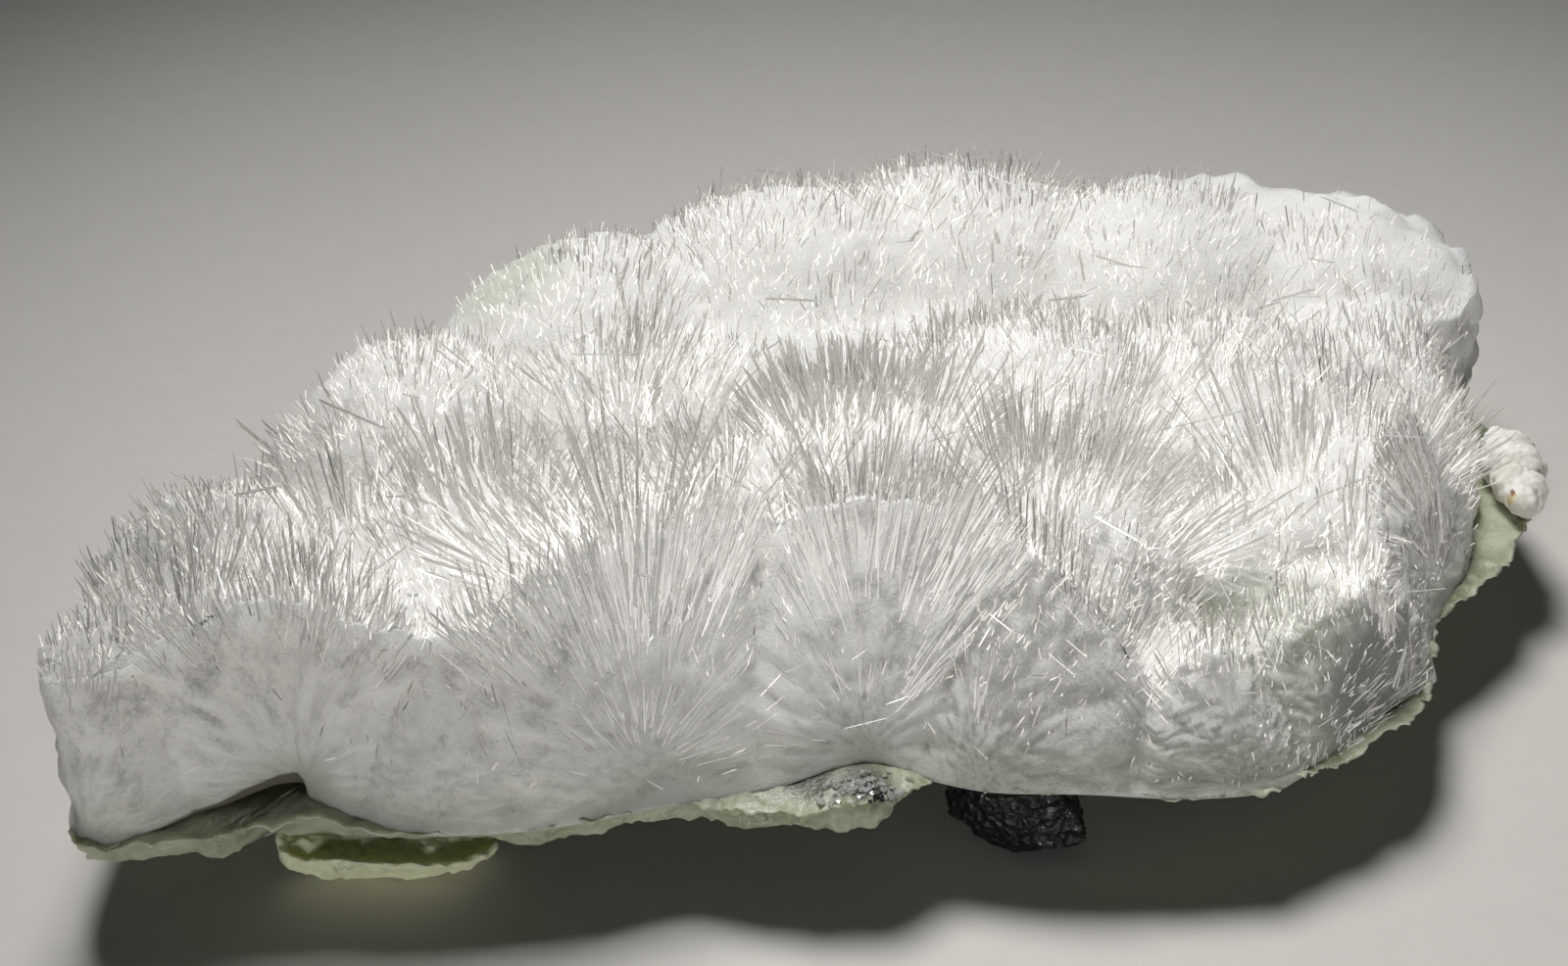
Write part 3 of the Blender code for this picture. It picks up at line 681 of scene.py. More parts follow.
def rooted(spots, aims, rise, front):
    """Roots, tips and facings of needles that leave the crust near given spots, behind the broken front."""
    roots, tips, faces = [], [], []
    for spot, aim, tall in zip(spots, aims, rise):
        hit, normal, _, _ = front.tree.ray_cast(Vector(spot + 8 * aim), Vector(-aim), 14.0)
        if hit is None or normal.dot(Vector(aim)) < 0.15 or normal.z < 0.2:
            continue
        roots.append(np.array(hit) - ROOT_DEPTH * aim)
        tips.append(np.array(hit) + tall * aim)
        faces.append(normal)
    if not roots:
        return [np.zeros((0, 3))] * 3
    roots, tips, faces = np.array(roots), np.array(tips), np.array(faces)
    kept = (front.depth(tips) > -0.35) & (front.depth(roots) > -0.1)
    roots, tips = roots[kept], tips[kept]
    return roots, tips, unit(nearest_spray(roots)[1] + (0.0, 0.0, 2.0) + 1.5 * faces[kept])


def gathered(rng, tufts, total, rise_range, named_share, front):
    """Needles of all the tufts: their roots, tips, facings and width factors."""
    weight = np.array([t.radius**2 * t.crowd * (named_share if t in NAMED_TUFTS else 1.0) for t in tufts])
    counts = (weight / weight.sum() * total).astype(int)
    found = []
    for tuft, count in zip(tufts, counts):
        needles = tuft_needles(rng, tuft, count, rise_range, front)
        found.append((*needles, np.full(len(needles[0]), tuft.width)))
    return [np.concatenate(part) for part in zip(*found)]


def felt_fibres(rng, count, longest, front):
    """Short fine fibres all over the crust's top, which soften its surface."""
    flat = rng.uniform(front.foot.min(0), front.foot.max(0), (count, 2))
    sparse = np.maximum(compact_rim(*flat.T), 0.6 * np.clip(flat[:, 1] / 10, 0, 1))
    flat = flat[sparse < rng.random(count)]
    spots = np.column_stack((flat, np.full(len(flat), FELT_START)))
    aims = unit(0.4 * nearest_spray(spots)[1] + (0.0, 0.0, 0.6) + rng.normal(0, 0.2, spots.shape))
    spots = spots - aims * ((FELT_START - crust_thickness(*flat.T) - PLATE_TOP) / aims[:, 2])[:, None]
    return rooted(spots, aims, longest * rng.uniform(0.25, 0.8, len(spots)), front)


def wall_needles(rng, count, share_range, length_range, stand_off, front):
    """Needles laid open in the broken front, each pointing away from the spray that it grew in.

    A share above one stands over the wall's top edge.
    """
    column, share, tips = front.random_places(rng, count, share_range)
    x = tips[:, 0]
    _, growth, span, seam = nearest_spray(tips)
    slope = front.run[column] / np.maximum(front.height[column], 1.0) * 1.5 * np.sqrt(share)
    normal = unit(np.column_stack((-front.inward[column], slope)))
    level = np.einsum("ij,ij->i", growth, normal)
    aim = unit(growth - level[:, None] * normal + normal * rng.uniform(*stand_off, count)[:, None])
    aim = unit(aim + rng.normal(0, 0.05, (count, 3)))
    freedom = np.interp(x, FREEDOM_X, FREEDOM)
    length = np.minimum(rng.uniform(*length_range, count), span * 0.9) * freedom
    tips = tips + normal * rng.uniform(-0.15, 0.08, count)[:, None]
    roots = tips - aim * length[:, None]
    kept = (roots[:, 2] > contact_height(*roots[:, :2].T) + 0.1) & (front.depth(tips) > -0.6)
    kept &= (aim[:, 2] > 0.12) & (seam > 0.02) & (span - length > 2.2)
    kept &= rng.random(count) < 1.2 * freedom
    kept &= (share > 0.88) | (rng.random(count) < 2.2 * freedom - 1.0)
    kept &= (x > -30.5) | (share < 0.95)
    return roots[kept], tips[kept], normal[kept]


def stray_needles(rng):
    """Rows like those of LYING_NEEDLES for thin needles that have grown or fallen every way."""
    rows = []
    corners = CRUST_OUTLINE[:, :2]
    for x, y in rng.uniform(corners.min(0), corners.max(0), (STRAY_NEEDLES, 2)):
        turn, slope = rng.uniform(0, 360), rng.normal(18, 22)
        rows.append((x, y, turn, slope, rng.uniform(1.0, 3.0), rng.uniform(0.06, 0.14)))
    return rows


def lying_needles(rows, lift, front):
    """Roots, tips, facings and widths of single needles that lie across the tufts."""
    middles, aims, sizes = [], [], []
    for x, y, turn, slope, *size in rows:
        top = top_at(front.tree, x, y)
        if top is None:
            continue
        turn, slope = math.radians(turn), math.radians(slope)
        middles.append((x, y, top.z + lift))
        aims.append((math.cos(turn) * math.cos(slope), math.sin(turn) * math.cos(slope), math.sin(slope)))
        sizes.append(size)
    length, width = np.array(sizes).T
    middles, half = np.array(middles), np.array(aims) * length[:, None] / 2
    return middles - half, middles + half, np.tile((0.0, 0.0, 1.0), (len(half), 1)), width


def broken_bits(rng, front):
    """Short broken ends of needles caught on the front, lying every way."""
    column, _, middle = front.random_places(rng, BROKEN_ENDS, (0.05, 1.0), 0.05)
    outward = unit(np.column_stack((-front.inward[column], np.full(len(column), 0.3))))
    aim = rng.normal(0, 1, outward.shape)
    aim = unit(aim - 0.8 * np.einsum("ij,ij->i", aim, outward)[:, None] * outward)
    half = rng.uniform(0.12, 0.55, len(column))[:, None] * aim
    return middle - half, middle + half, outward


def plate_under(x, y):
    """Level of the plate's underside. It drops to the table around the foot."""
    away = np.hypot((x - FOOT_CENTRE[0]) / FOOT_SIZE[0], (y - FOOT_CENTRE[1]) / FOOT_SIZE[1])
    return np.clip(PLATE_UNDERSIDE * 2.6 * (away - 1.0), 0.0, PLATE_UNDERSIDE)


class PlateRows:
    """How the rows and columns of the plate's mesh are shared out."""

    columns = 700
    top = 30
    edge = 14
    under = 26
    rows = top + edge + under


# How far the plate's broken edge runs back under itself, by x along the front and elsewhere.
UNDERCUT_X = (-32.0, -25.5, -23.5, -13.5, -11.5, 4.5, 7.0, 40.0)
UNDERCUT = (0.5, 0.6, 1.5, 1.4, 0.5, 0.6, 1.8, 1.8)
# The open pocket, a place, width and depth, and the ledge under the recess, a place, sizes and height.
POCKET = (1.3, -20.9, 1.3, 0.6)
LEDGE = (-25.0, -22.4, 5.5, 1.4, 0.3)


def plate_points(column, row):
    """Places of the plate's mesh: a top under the crust, a chipped edge, and an underside with a foot."""
    r = PlateRows
    loop = smooth_closed_curve(PLATE_OUTLINE, np.arange(r.columns) * len(PLATE_OUTLINE) / r.columns)
    outline = loop[column]
    inward = inward_directions(loop)[column]
    share_top = np.clip(1 - row / r.top, 0, 1) ** 1.6
    down = np.clip((row - r.top) / r.edge, 0, 1)
    share_under = np.clip((row - r.top - r.edge) / r.under, 0, 1)
    at = np.column_stack((outline, down * 1.2))
    chips = 0.34 * rough(at, 1.9, 3.0) + 0.34 * np.abs(rough(at, 0.8, 9.0)) + 0.2 * rough(at, 0.33, 21.0)
    undercut = np.interp(outline[:, 0], UNDERCUT_X, UNDERCUT)
    edge = outline + (chips + undercut * down**0.8)[:, None] * inward
    share_in = np.where(row <= r.top, share_top, share_under)
    flat = edge + (MIDDLE - edge) * share_in[:, None]
    x, y = flat.T
    here = np.column_stack((x, y, np.full(len(x), PLATE_TOP)))
    ledge_x, ledge_y, long, deep, tall = LEDGE
    ledge = tall * np.exp(-(((x - ledge_x) / long) ** 2) - ((y - ledge_y) / deep) ** 2)
    pocket_x, pocket_y, wide, sunk = POCKET
    pocket = sunk * np.exp(-((x - pocket_x) ** 2 + (y - pocket_y) ** 2) / wide**2)
    crags = 0.5 * rough(here, 1.3, 2.0) + 0.35 * rough(here, 0.5, 6.0) + 0.3 * knobby(here, 0.7)
    upper = contact_height(x, y) - 0.1 + np.exp(-share_in * 14) * (0.55 * crags + ledge - pocket)
    lower = plate_under(x, y)
    ground = np.clip(lower / 0.6, 0, 1)
    places = np.column_stack((x, y, lower))
    lower = lower + ground * (0.25 * rough(places, 2.6) + 0.18 * rough(places, 0.9, 5.0))
    z = np.where(row <= r.top, upper, np.where(row >= r.top + r.edge, lower, upper + (lower - upper) * down))
    return np.column_stack((x, y, z))


class Flake:
    """The splinter under the front left edge: its middle, half sizes and heights."""

    columns, rows = 200, 80
    x, y = -18.7, -19.5
    half_long, half_deep = 5.1, 2.35
    lip, back = 2.1, 3.6
    scoop, shoulder, left_square = 0.45, 0.46, 0.45


def flake_points(column, row):
    """Places of the flake's mesh: a low bright lip in front, a hollow, and a back that meets the plate."""
    f = Flake
    turn = column / f.columns * math.tau
    cos, sin = np.cos(turn), np.sin(turn)
    down = row / f.rows
    swell = np.sin(np.minimum(down, 1.0) * math.pi) ** 0.5
    square = np.where(cos < 0, f.left_square, 1.0)
    x = f.x + f.half_long * swell * np.sign(cos) * np.abs(cos) ** square
    y = f.y + f.half_deep * swell * np.sign(sin) * np.abs(sin) ** square
    rear = 0.5 + 0.5 * sin * swell
    left = 0.5 - 0.5 * cos * swell
    crown = (f.lip + (f.back - f.lip) * rear**1.5) * (0.45 + 0.55 * np.clip(left * 2.6, 0, 1))
    top = np.clip(crown - f.scoop * np.clip(1 - (down / 0.36) ** 4, 0, 1), 0.4, None)
    side = 1 - np.clip((down - f.shoulder) / 0.34, 0, 1)
    z = np.where(down < f.shoulder, top, top * side)
    y = y + 0.5 * np.clip((down - 0.5) / 0.3, 0, 1) * (sin < 0)
    points = np.column_stack((x, y, z))
    shakes = [0.3 * rough(points, 1.5, k) + 0.14 * rough(points, 0.45, 5 + k) for k in (0.0, 3.0)]
    points[:, :2] += np.column_stack(shakes)
    points[:, 2] += (0.25 * rough(points, 0.9, 8.0) + 0.12 * rough(points, 0.35, 4.0)) * (z > 0.05)
    points[:, 2] = np.clip(points[:, 2], 0, None)
    return points


def build_lump(rng):
    """The black lump of magnetite: a block of broken faces with a jagged foot."""
    mesh, points = round_ball(6)
    normals = unit(rng.normal(0, 1, (26, 3)))
    away = rng.uniform(0.78, 1.0, len(normals))
    reach = np.min(away / np.maximum(points @ normals.T, 0.05), axis=1)
    points = points * np.minimum(reach, 1.35)[:, None]
    pits = cells(points, 0.30) - 0.4
    fine = cells(points, 0.11) - 0.4
    points = points * (1 + 0.12 * pits + 0.05 * fine + 0.08 * rough(points, 0.4))[:, None]
    points = points * LUMP_SIZE + LUMP_PLACE
    points[:, 2] = np.clip(points[:, 2], 0.0, PLATE_UNDERSIDE)
    return finished(mesh, points, "magnetite_stone", smooth=False)


def build_nodule():
    """The white knobbly crust on the right edge of the plate."""
    mesh, points = round_ball(6)
    placed = points * NODULE_SIZE
    knobs = 0.75 * knobby(placed, 1.9) + 0.22 * knobby(placed, 0.7)
    out = knobs + 0.3 * rough(placed, 1.6) + 0.1 * rough(placed, 0.3)
    placed = placed * 0.85 + points * out[:, None] + NODULE_PLACE
    placed[:, 2] = np.maximum(placed[:, 2], PLATE_TOP - 0.1)
    return finished(mesh, placed, "chalky_nodule")


def strewn_chips(name, rng, count, middle, spread, sizes, tree):
    """Small angular chips strewn on the plate around a place, in one mesh."""
    corners, triangles = taken_apart(round_ball(1)[0])
    points, faces = [], []
    for _ in range(count):
        x, y = rng.normal(middle, spread)
        turned = unit(rng.normal(0, 1, (3, 3)))
        stretch = rng.uniform(*sizes) * rng.uniform(0.6, 1.5, 3)
        jitter = rng.uniform(0.6, 1.1, (len(corners), 1))
        top = top_at(tree, x, y)
        if top is None or top.z < PLATE_UNDERSIDE:
            continue
        faces.append(triangles + len(corners) * len(points))
        points.append((corners * jitter * stretch) @ np.linalg.qr(turned)[0] + np.array(top))
    data = bpy.data.meshes.new(name)
    data.from_pydata((np.concatenate(points) + DRAWING_SHIFT) * MM, [], np.concatenate(faces))
    return linked(name, data)


def hex_color(code):
    """Linear red, green and blue of an sRGB hex code, with full alpha."""
    shares = [int(code[i : i + 2], 16) / 255 for i in (0, 2, 4)]
    return [*(s / 12.92 if s <= 0.04045 else ((s + 0.055) / 1.055) ** 2.4 for s in shares), 1.0]


def add_node(tree, kind, inputs=None, stops=(), **settings):
    """Add a node and return its outputs. Each input is given a value or the output of another node.

    A colour ramp is given its stops, each a position and a linear colour.
    """
    node = tree.nodes.new("ShaderNode" + kind)
    for key, value in settings.items():
        setattr(node, key, value)
    for key, value in (inputs or {}).items():
        if isinstance(value, bpy.types.NodeSocket):
            tree.links.new(value, node.inputs[key])
        else:
            node.inputs[key].default_value = value
    if stops:
        band = node.color_ramp.elements
        while len(band) < len(stops):
            band.new(0.5)
        for element, stop in zip(band, stops):
            element.position, element.color = stop
    return node.outputs


def new_material(name):
    """An empty material, its node tree, and the place on its piece as an output of a node."""
    material = bpy.data.materials.new(name)
    material.use_nodes = True
    tree = material.node_tree
    tree.nodes.clear()
    return material, tree, add_node(tree, "TexCoord")["Object"]


def layered(tree, color, layers):
    """A colour with others laid over it, each with how much of it shows."""
    for share, layer in layers:
        color = add_node(tree, "Mix", {0: share, 6: color, 7: layer}, data_type="RGBA")[2]
    return color


def near_spot(tree, spot, radius, most=1.0):
    """The most at a place of the drawing plane, falling to 0 at a radius from it."""
    place = add_node(tree, "TexCoord")["Object"]
    centre = tuple((np.array(spot) + DRAWING_SHIFT) * MM)
    away = add_node(tree, "VectorMath", {0: place, 1: centre}, operation="DISTANCE")["Value"]
    reach = {"From Min": 0.35 * radius * MM, "From Max": radius * MM, "To Min": most, "To Max": 0.0}
    return add_node(tree, "MapRange", {"Value": away, **reach}, interpolation_type="SMOOTHSTEP")[0]


def silky_artinite(settings):
    """Parallel fibres of a clear mineral, broken across: a milky, streaked mass that light sinks into."""
    material, tree, place = new_material("silky_fibrous_artinite")
    stored = ("growth", "span", "ripe", "cut", "recess_shade_mask")
    growth, span, ripe, cut, recess_shade_mask = (add_node(tree, "Attribute", attribute_name=name) for name in stored)
    along = add_node(tree, "Math", {0: span["Fac"], 1: 0.09}, operation="MULTIPLY")[0]
    # One fibre is too fine to show, so a streak is a bundle, 0.2 mm apart where a fan reaches 12 mm.
    streaks, wedges = (
        add_node(tree, "TexNoise", {
            "Vector": growth["Vector"], "W": along, "Scale": scale, "Detail": detail, "Roughness": roughness,
        }, noise_dimensions="4D")["Fac"]
        for scale, detail, roughness in ((55.0, 3.0, 0.7), (7.0, 2.0, 0.55))
    )
    cloudy = {"Vector": place, "Scale": 0.35 / MM, "Detail": 3.0, "Roughness": 0.6}
    clouds = add_node(tree, "TexNoise", cloudy)["Fac"]
    across, _, height = add_node(tree, "SeparateXYZ", {"Vector": place})
    risen, left, right, low = (
        add_node(tree, "MapRange", {
            "Value": value, "From Min": start * MM, "From Max": end * MM, "To Min": first, "To Max": last,
        })[0]
        for value, start, end, first, last in (
            # painted light: the low parts and valleys are painted whiter and the high crests greyer, for
            # light that the mass carries down into them
            (height, 9.0, 18.0, -0.3, 0.1),
            (across, -24.0, -32.0, 0.0, 0.6),
            (across, -6.0, 8.0, 0.0, 1.8),
            (height, 5.4, 8.6, 0.8, 0.0),
        )
    )
    risen = add_node(tree, "Math", {0: risen, 1: left}, operation="ADD")[0]
    # paler nearer a spray's heart: partly crowded fibres, partly painted glow of light led down the fibres
    tone = add_node(tree, "Math", {0: ripe["Fac"], 1: 0.5}, operation="MULTIPLY")[0]
    for part, weight in ((streaks, 4.0), (wedges, 6.0), (clouds, 0.5), (right, 1.0), (risen, 1.0)):
        tone = add_node(tree, "Math", {0: part, 1: weight, 2: tone}, operation="MULTIPLY_ADD")[0]
    tone = add_node(tree, "MapRange", {"Value": tone, "From Min": 4.6, "From Max": 7.4})[0]
    white, milk, shade = settings.white, settings.milk, settings.shade
    stops = ((0.05, white), (0.45, milk), (0.95, shade))
    streaked = add_node(tree, "ValToRGB", {"Fac": tone}, stops)["Color"]
    # the grown surfaces take the same painted light: whiter low down, greyer high up
    grown = add_node(tree, "Math", {0: clouds, 1: risen}, operation="ADD")[0]
    stops = ((0.3, white), (0.7, milk), (1.0, shade))
    grown = add_node(tree, "ValToRGB", {"Fac": grown}, stops)["Color"]
    low = add_node(tree, "Math", {0: low, 1: clouds}, operation="MULTIPLY")[0]
    color = layered(tree, grown, (
        (cut["Fac"], streaked),
        (low, settings.tinge),
        *((near_spot(tree, *patch), getattr(settings, tint)) for tint, *patch in MASS_PATCHES),
        # painted shade: the recess under the left part is painted olive grey for the shade inside it
        (recess_shade_mask["Fac"], settings.stain),
    ))
    relief = add_node(tree, "Bump", {"Height": streaks, "Strength": 0.7, "Distance": 0.00025})["Normal"]
    shader = add_node(tree, "BsdfPrincipled", {
        "Base Color": color, "Roughness": 0.8, "IOR": ARTINITE_IOR, "Specular IOR Level": 0.25,
        "Subsurface Weight": 0.55, "Subsurface Radius": (1.0, 1.0, 1.0), "Subsurface Scale": settings.depth,
        "Normal": relief,
    })[0]
    add_node(tree, "OutputMaterial", {"Surface": shader})
    return material


def milky_fibres(settings):
    """Fine artinite needles with air between them, white to grey by each needle's tone, which holds painted
    light, and greyer towards the tip.
    """
    material, tree, _ = new_material("milky_artinite_fibres")
    stored = ("along", "tone", "facing")
    along, tone, facing = (add_node(tree, "Attribute", attribute_name=name) for name in stored)
    aged = add_node(tree, "Math", {0: along["Fac"], 1: 0.3, 2: tone["Fac"]}, operation="MULTIPLY_ADD")[0]
    stops = ((0.0, settings.fibre), (0.55, settings.fibre_side), (1.0, settings.fibre_tip))
    color = add_node(tree, "ValToRGB", {"Fac": aged}, stops)["Color"]
    mass = facing["Vector"]
    behind = add_node(tree, "VectorMath", {0: mass, "Scale": -1.0}, operation="SCALE")[0]
    lit = add_node(tree, "BsdfPrincipled", {
        "Base Color": color, "Roughness": 0.6, "IOR": ARTINITE_IOR, "Specular IOR Level": 0.02,
        "Normal": mass,
    })[0]
    through = add_node(tree, "BsdfTranslucent", {"Color": color, "Normal": behind})[0]
    both = add_node(tree, "AddShader", {0: lit, 1: through})[0]
    add_node(tree, "OutputMaterial", {"Surface": both})
    return material


def clear_needles(settings):
    """Single glassy artinite needles: water clear, with dark edges where they bend the view."""
    material, tree, _ = new_material("clear_artinite_needles")
    shader = add_node(tree, "BsdfPrincipled", {
        "Base Color": settings.clear, "Roughness": 0.08, "IOR": ARTINITE_IOR,
        "Transmission Weight": settings.clearness,
    })[0]
    add_node(tree, "OutputMaterial", {"Surface": shader})
    return material


def waxy_serpentine(name, colors, hollow, shade_spots):
    """Broken serpentine: waxy, a little translucent, mottled from whitish to olive, with painted shade in its
    hollows.
    """
    material, tree, place = new_material(name)
    # Clouds are about 3 mm apart, veins 1 mm, and the grains of the broken surface 0.2 mm.
    clouds, veins, grain = (
        add_node(tree, "TexNoise", {
            "Vector": place, "Scale": scale / MM, "Detail": detail, "Roughness": roughness,
            "Distortion": distortion,
        })["Fac"]
        for scale, detail, roughness, distortion in (
            (0.30, 4.0, 0.62, 0.0),
            (0.9, 3.0, 0.6, 1.2),
            (5.0, 3.0, 0.6, 0.0),
        )
    )
    pale, green, olive = colors
    black, white = (0, 0, 0, 1), (1, 1, 1, 1)
    mottled = add_node(tree, "ValToRGB", {"Fac": clouds}, ((0.32, olive), (0.45, green), (0.62, pale)))
    vein = add_node(tree, "ValToRGB", {"Fac": veins}, ((0.46, black), (0.5, white), (0.54, black)))
    color = layered(tree, mottled["Color"], (
        (vein["Color"], pale),
        # painted shade: the hollow colour is laid over the spots where shade falls
        *((near_spot(tree, *spot), hollow) for spot in shade_spots),
    ))
    gloss = {"Value": clouds, "From Min": 0.3, "From Max": 0.7, "To Min": 0.3, "To Max": 0.55}
    relief = add_node(tree, "Bump", {"Height": grain, "Strength": 0.5, "Distance": 0.0001})["Normal"]
    shader = add_node(tree, "BsdfPrincipled", {
        "Base Color": color, "Roughness": add_node(tree, "MapRange", gloss)[0], "IOR": 1.56,
        "Subsurface Weight": 0.5, "Subsurface Radius": (1.0, 1.0, 0.8), "Subsurface Scale": 0.0008,
        "Normal": relief,
    })[0]
    add_node(tree, "OutputMaterial", {"Surface": shader})
    return material


def black_magnetite(settings):
    """Broken magnetite: black and granular, with small bright faces where the grains have split."""
    material, tree, place = new_material("black_magnetite")
    # Grains are about 0.4 mm across.
    grains = add_node(tree, "TexVoronoi", {"Vector": place, "Scale": 2.4 / MM}, feature="F1")
    split = add_node(tree, "SeparateColor", {"Color": grains["Color"]})[0]
    black, lit = settings.magnetite, settings.magnetite_lit
    color = add_node(tree, "ValToRGB", {"Fac": split}, ((0.0, black), (0.8, black), (0.95, lit)))["Color"]
    gloss = {"Value": split, "From Min": 0.7, "From Max": 1.0, "To Min": 0.55, "To Max": 0.2}
    relief = {"Height": grains["Distance"], "Strength": 0.8, "Distance": 0.0002}
    shader = add_node(tree, "BsdfPrincipled", {
        "Base Color": color, "Roughness": add_node(tree, "MapRange", gloss)[0], "Specular IOR Level": 0.5,
        "Normal": add_node(tree, "Bump", relief)["Normal"],
    })[0]
    add_node(tree, "OutputMaterial", {"Surface": shader})
    return material


def chalky_crust(settings):
    """White crust of fine powder, set hard: dull and knobbly, with yellow and rust stains in its folds."""
    material, tree, place = new_material("chalky_white_crust")
    # Powder is too fine to show, so its relief is drawn 0.14 mm apart.
    clouds, folds, powder = (
        add_node(tree, "TexNoise", {
            "Vector": place, "Scale": scale / MM, "Detail": detail, "Roughness": roughness,
        })["Fac"]
        for scale, detail, roughness in ((0.8, 4.0, 0.6), (2.6, 3.0, 0.6), (7.0, 3.0, 0.7))
    )
    stops = ((0.35, settings.chalk_shade), (0.6, settings.chalk))
    color = add_node(tree, "ValToRGB", {"Fac": clouds}, stops)["Color"]
    for tint, *spot in NODULE_STAINS:
        stained = add_node(tree, "Math", {0: near_spot(tree, *spot), 1: folds}, operation="MULTIPLY")[0]
        share = add_node(tree, "MapRange", {"Value": stained, "From Min": 0.3, "From Max": 0.6})[0]
        color = layered(tree, color, ((share, getattr(settings, tint)),))
    relief = add_node(tree, "Bump", {"Height": powder, "Strength": 0.6, "Distance": 0.0001})["Normal"]
    shader = add_node(tree, "BsdfPrincipled", {
        "Base Color": color, "Roughness": 0.85, "Normal": relief,
        "Subsurface Weight": 0.4, "Subsurface Radius": (1.0, 0.95, 0.85), "Subsurface Scale": 0.0006,
    })[0]
    add_node(tree, "OutputMaterial", {"Surface": shader})
    return material


def pale_table(settings):
    """Pale matt board with a faint grain."""
    material, tree, place = new_material("pale_table")
    floor = tuple(settings.floor)
    dim = (*(0.97 * c for c in floor[:3]), 1.0)
    # The board's own grain is too fine to show, so it is drawn 2 mm apart.
    cloudy = {"Vector": place, "Scale": 0.5 / MM, "Detail": 4.0, "Roughness": 0.6}
    clouds = add_node(tree, "TexNoise", cloudy)["Fac"]
    color = add_node(tree, "ValToRGB", {"Fac": clouds}, ((0.3, dim), (0.7, floor)))["Color"]
    shader = add_node(tree, "BsdfPrincipled", {"Base Color": color, "Roughness": 0.6})[0]
    add_node(tree, "OutputMaterial", {"Surface": shader})
    return material


def dress(piece, material, slot, *nodes):
    """Give a piece its material and its body, and hide the solids that it stands for."""
    piece.data.materials.append(material)
    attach(piece, "root")
    if nodes:
        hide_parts(*nodes)
    return piece


def color_prop(name, description, code):
    """A colour property from an sRGB hex code."""
    return bpy.props.FloatVectorProperty(
        name=name, description=description, default=hex_color(code), subtype="COLOR", size=4, min=0, max=1,
    )


def count_prop(name, description, default):
    """A property that is a whole number."""
    return bpy.props.IntProperty(name=name, description=description, default=default)


def number_prop(name, description, default, **more):
    """A property that is a number."""
    return bpy.props.FloatProperty(name=name, description=description, default=default, **more)


class ARTINITE_PG_crust(bpy.types.PropertyGroup):
    """Finish of the massive part of the crust."""

    white: color_prop("Heart of a spray", "Colour where fibres crowd together", "F6F4EF")
    milk: color_prop("Milky fibres", "Colour of most of the mass", "EAE8E3")
    shade: color_prop("Glassy fibres", "Colour where fibres are clear and thin", "C2C0BB")
    tinge: color_prop("Green tinge", "Colour where the plate shines through", "B4BE9C")
    glassy: color_prop("Glassy facets", "Colour of the smooth broken faces at both ends", "A3A29D")
    # painted shade: stain is the olive grey painted into the recess under the left part to stand in for its
    # shade
    stain: color_prop("Recess", "Colour of the stained recess under its left part", "858272")
    depth: number_prop("Light depth", "How far light spreads in the mass", 0.0024, unit="LENGTH")


class ARTINITE_PG_needles(bpy.types.PropertyGroup):
    """Numbers, sizes and finish of the needles."""

    felt: count_prop("Felt fibres", "Short fibres in each felt piece", 14000)
    fibres: count_prop("Fibres", "Milky needles in each fibre piece", 5400)
    blades: count_prop("Blades", "Clear needles in the tufts", 2800)
    width: number_prop("Needle width", "Usual width of a fine needle", 0.00012, unit="LENGTH")
    fibre: color_prop("White fibre", "Colour of the whitest milky needles", "E4E2DD")
    fibre_side: color_prop("Milky fibre", "Usual colour of a milky needle", "D0CEC9")
    fibre_tip: color_prop("Grey fibre", "Colour of the clearer milky needles", "B0AEA9")
    clear: color_prop("Clear needle", "Tint of a clear needle", "E6E5E1")
    clearness: number_prop("Clearness", "Share of light that goes through a clear needle", 0.64, min=0, max=1)


class ARTINITE_PG_stones(bpy.types.PropertyGroup):
    """Finish of the plate, flake, lump and nodule."""

    pale: color_prop("Pale serpentine", "Colour of thin, bleached serpentine", "ADAF99")
    green: color_prop("Green serpentine", "Usual colour of the plate", "92957C")
    olive: color_prop("Olive serpentine", "Colour of its darker patches", "72765C")
    # painted shade: hollow is the dark colour painted where shade falls in the plate's recess and pocket
    hollow: color_prop("Hollows", "Colour in its deep hollows", "45472F")
    # partly painted light: the flake's own pale colour, made lighter to stand in for the light that its front
    # lip catches
    lip: color_prop("Flake", "Colour of the thin bleached flake", "E6EAC2")
    magnetite: color_prop("Magnetite", "Colour of the black lump", "070708")
    magnetite_lit: color_prop("Split grains", "Colour of its bright faces", "1B1C1D")
    chalk: color_prop("Chalky crust", "Colour of the white nodule", "F1EFE8")
    chalk_shade: color_prop("Chalky folds", "Colour in its folds", "D3CFC2")
    yellow: color_prop("Yellow stain", "Colour of the stain on the nodule", "CDB780")
    rust: color_prop("Rust stain", "Colour of the heart of the stain", "6B2A20")


class ARTINITE_PG_stage(bpy.types.PropertyGroup):
    """Floor, light and camera."""

    floor: color_prop("Floor", "Colour of the table", "CCC9C3")
    power: number_prop("Lamp power", "Power of the soft lamp", 0.106, unit="POWER")
    fill: number_prop("Fill power", "Power of the low front lamp", 0.135, unit="POWER")
    lamp_size: number_prop("Lamp size", "Diameter of the soft lamp", 0.09, unit="LENGTH")
    sky: number_prop("Sky", "Strength of the light from all round", 0.006)


def soft_lamp(name, place, target, spread, size, power):
    """A round soft lamp that looks at a target."""
    lamp = bpy.data.lights.new(name, "AREA")
    lamp.shape = "DISK"
    lamp.size = size
    lamp.energy = power
    lamp.spread = math.radians(spread)
    holder = linked(name, lamp)
    holder.location = place
    holder.rotation_euler = (Vector(target) - Vector(place)).to_track_quat("-Z", "Y").to_euler()


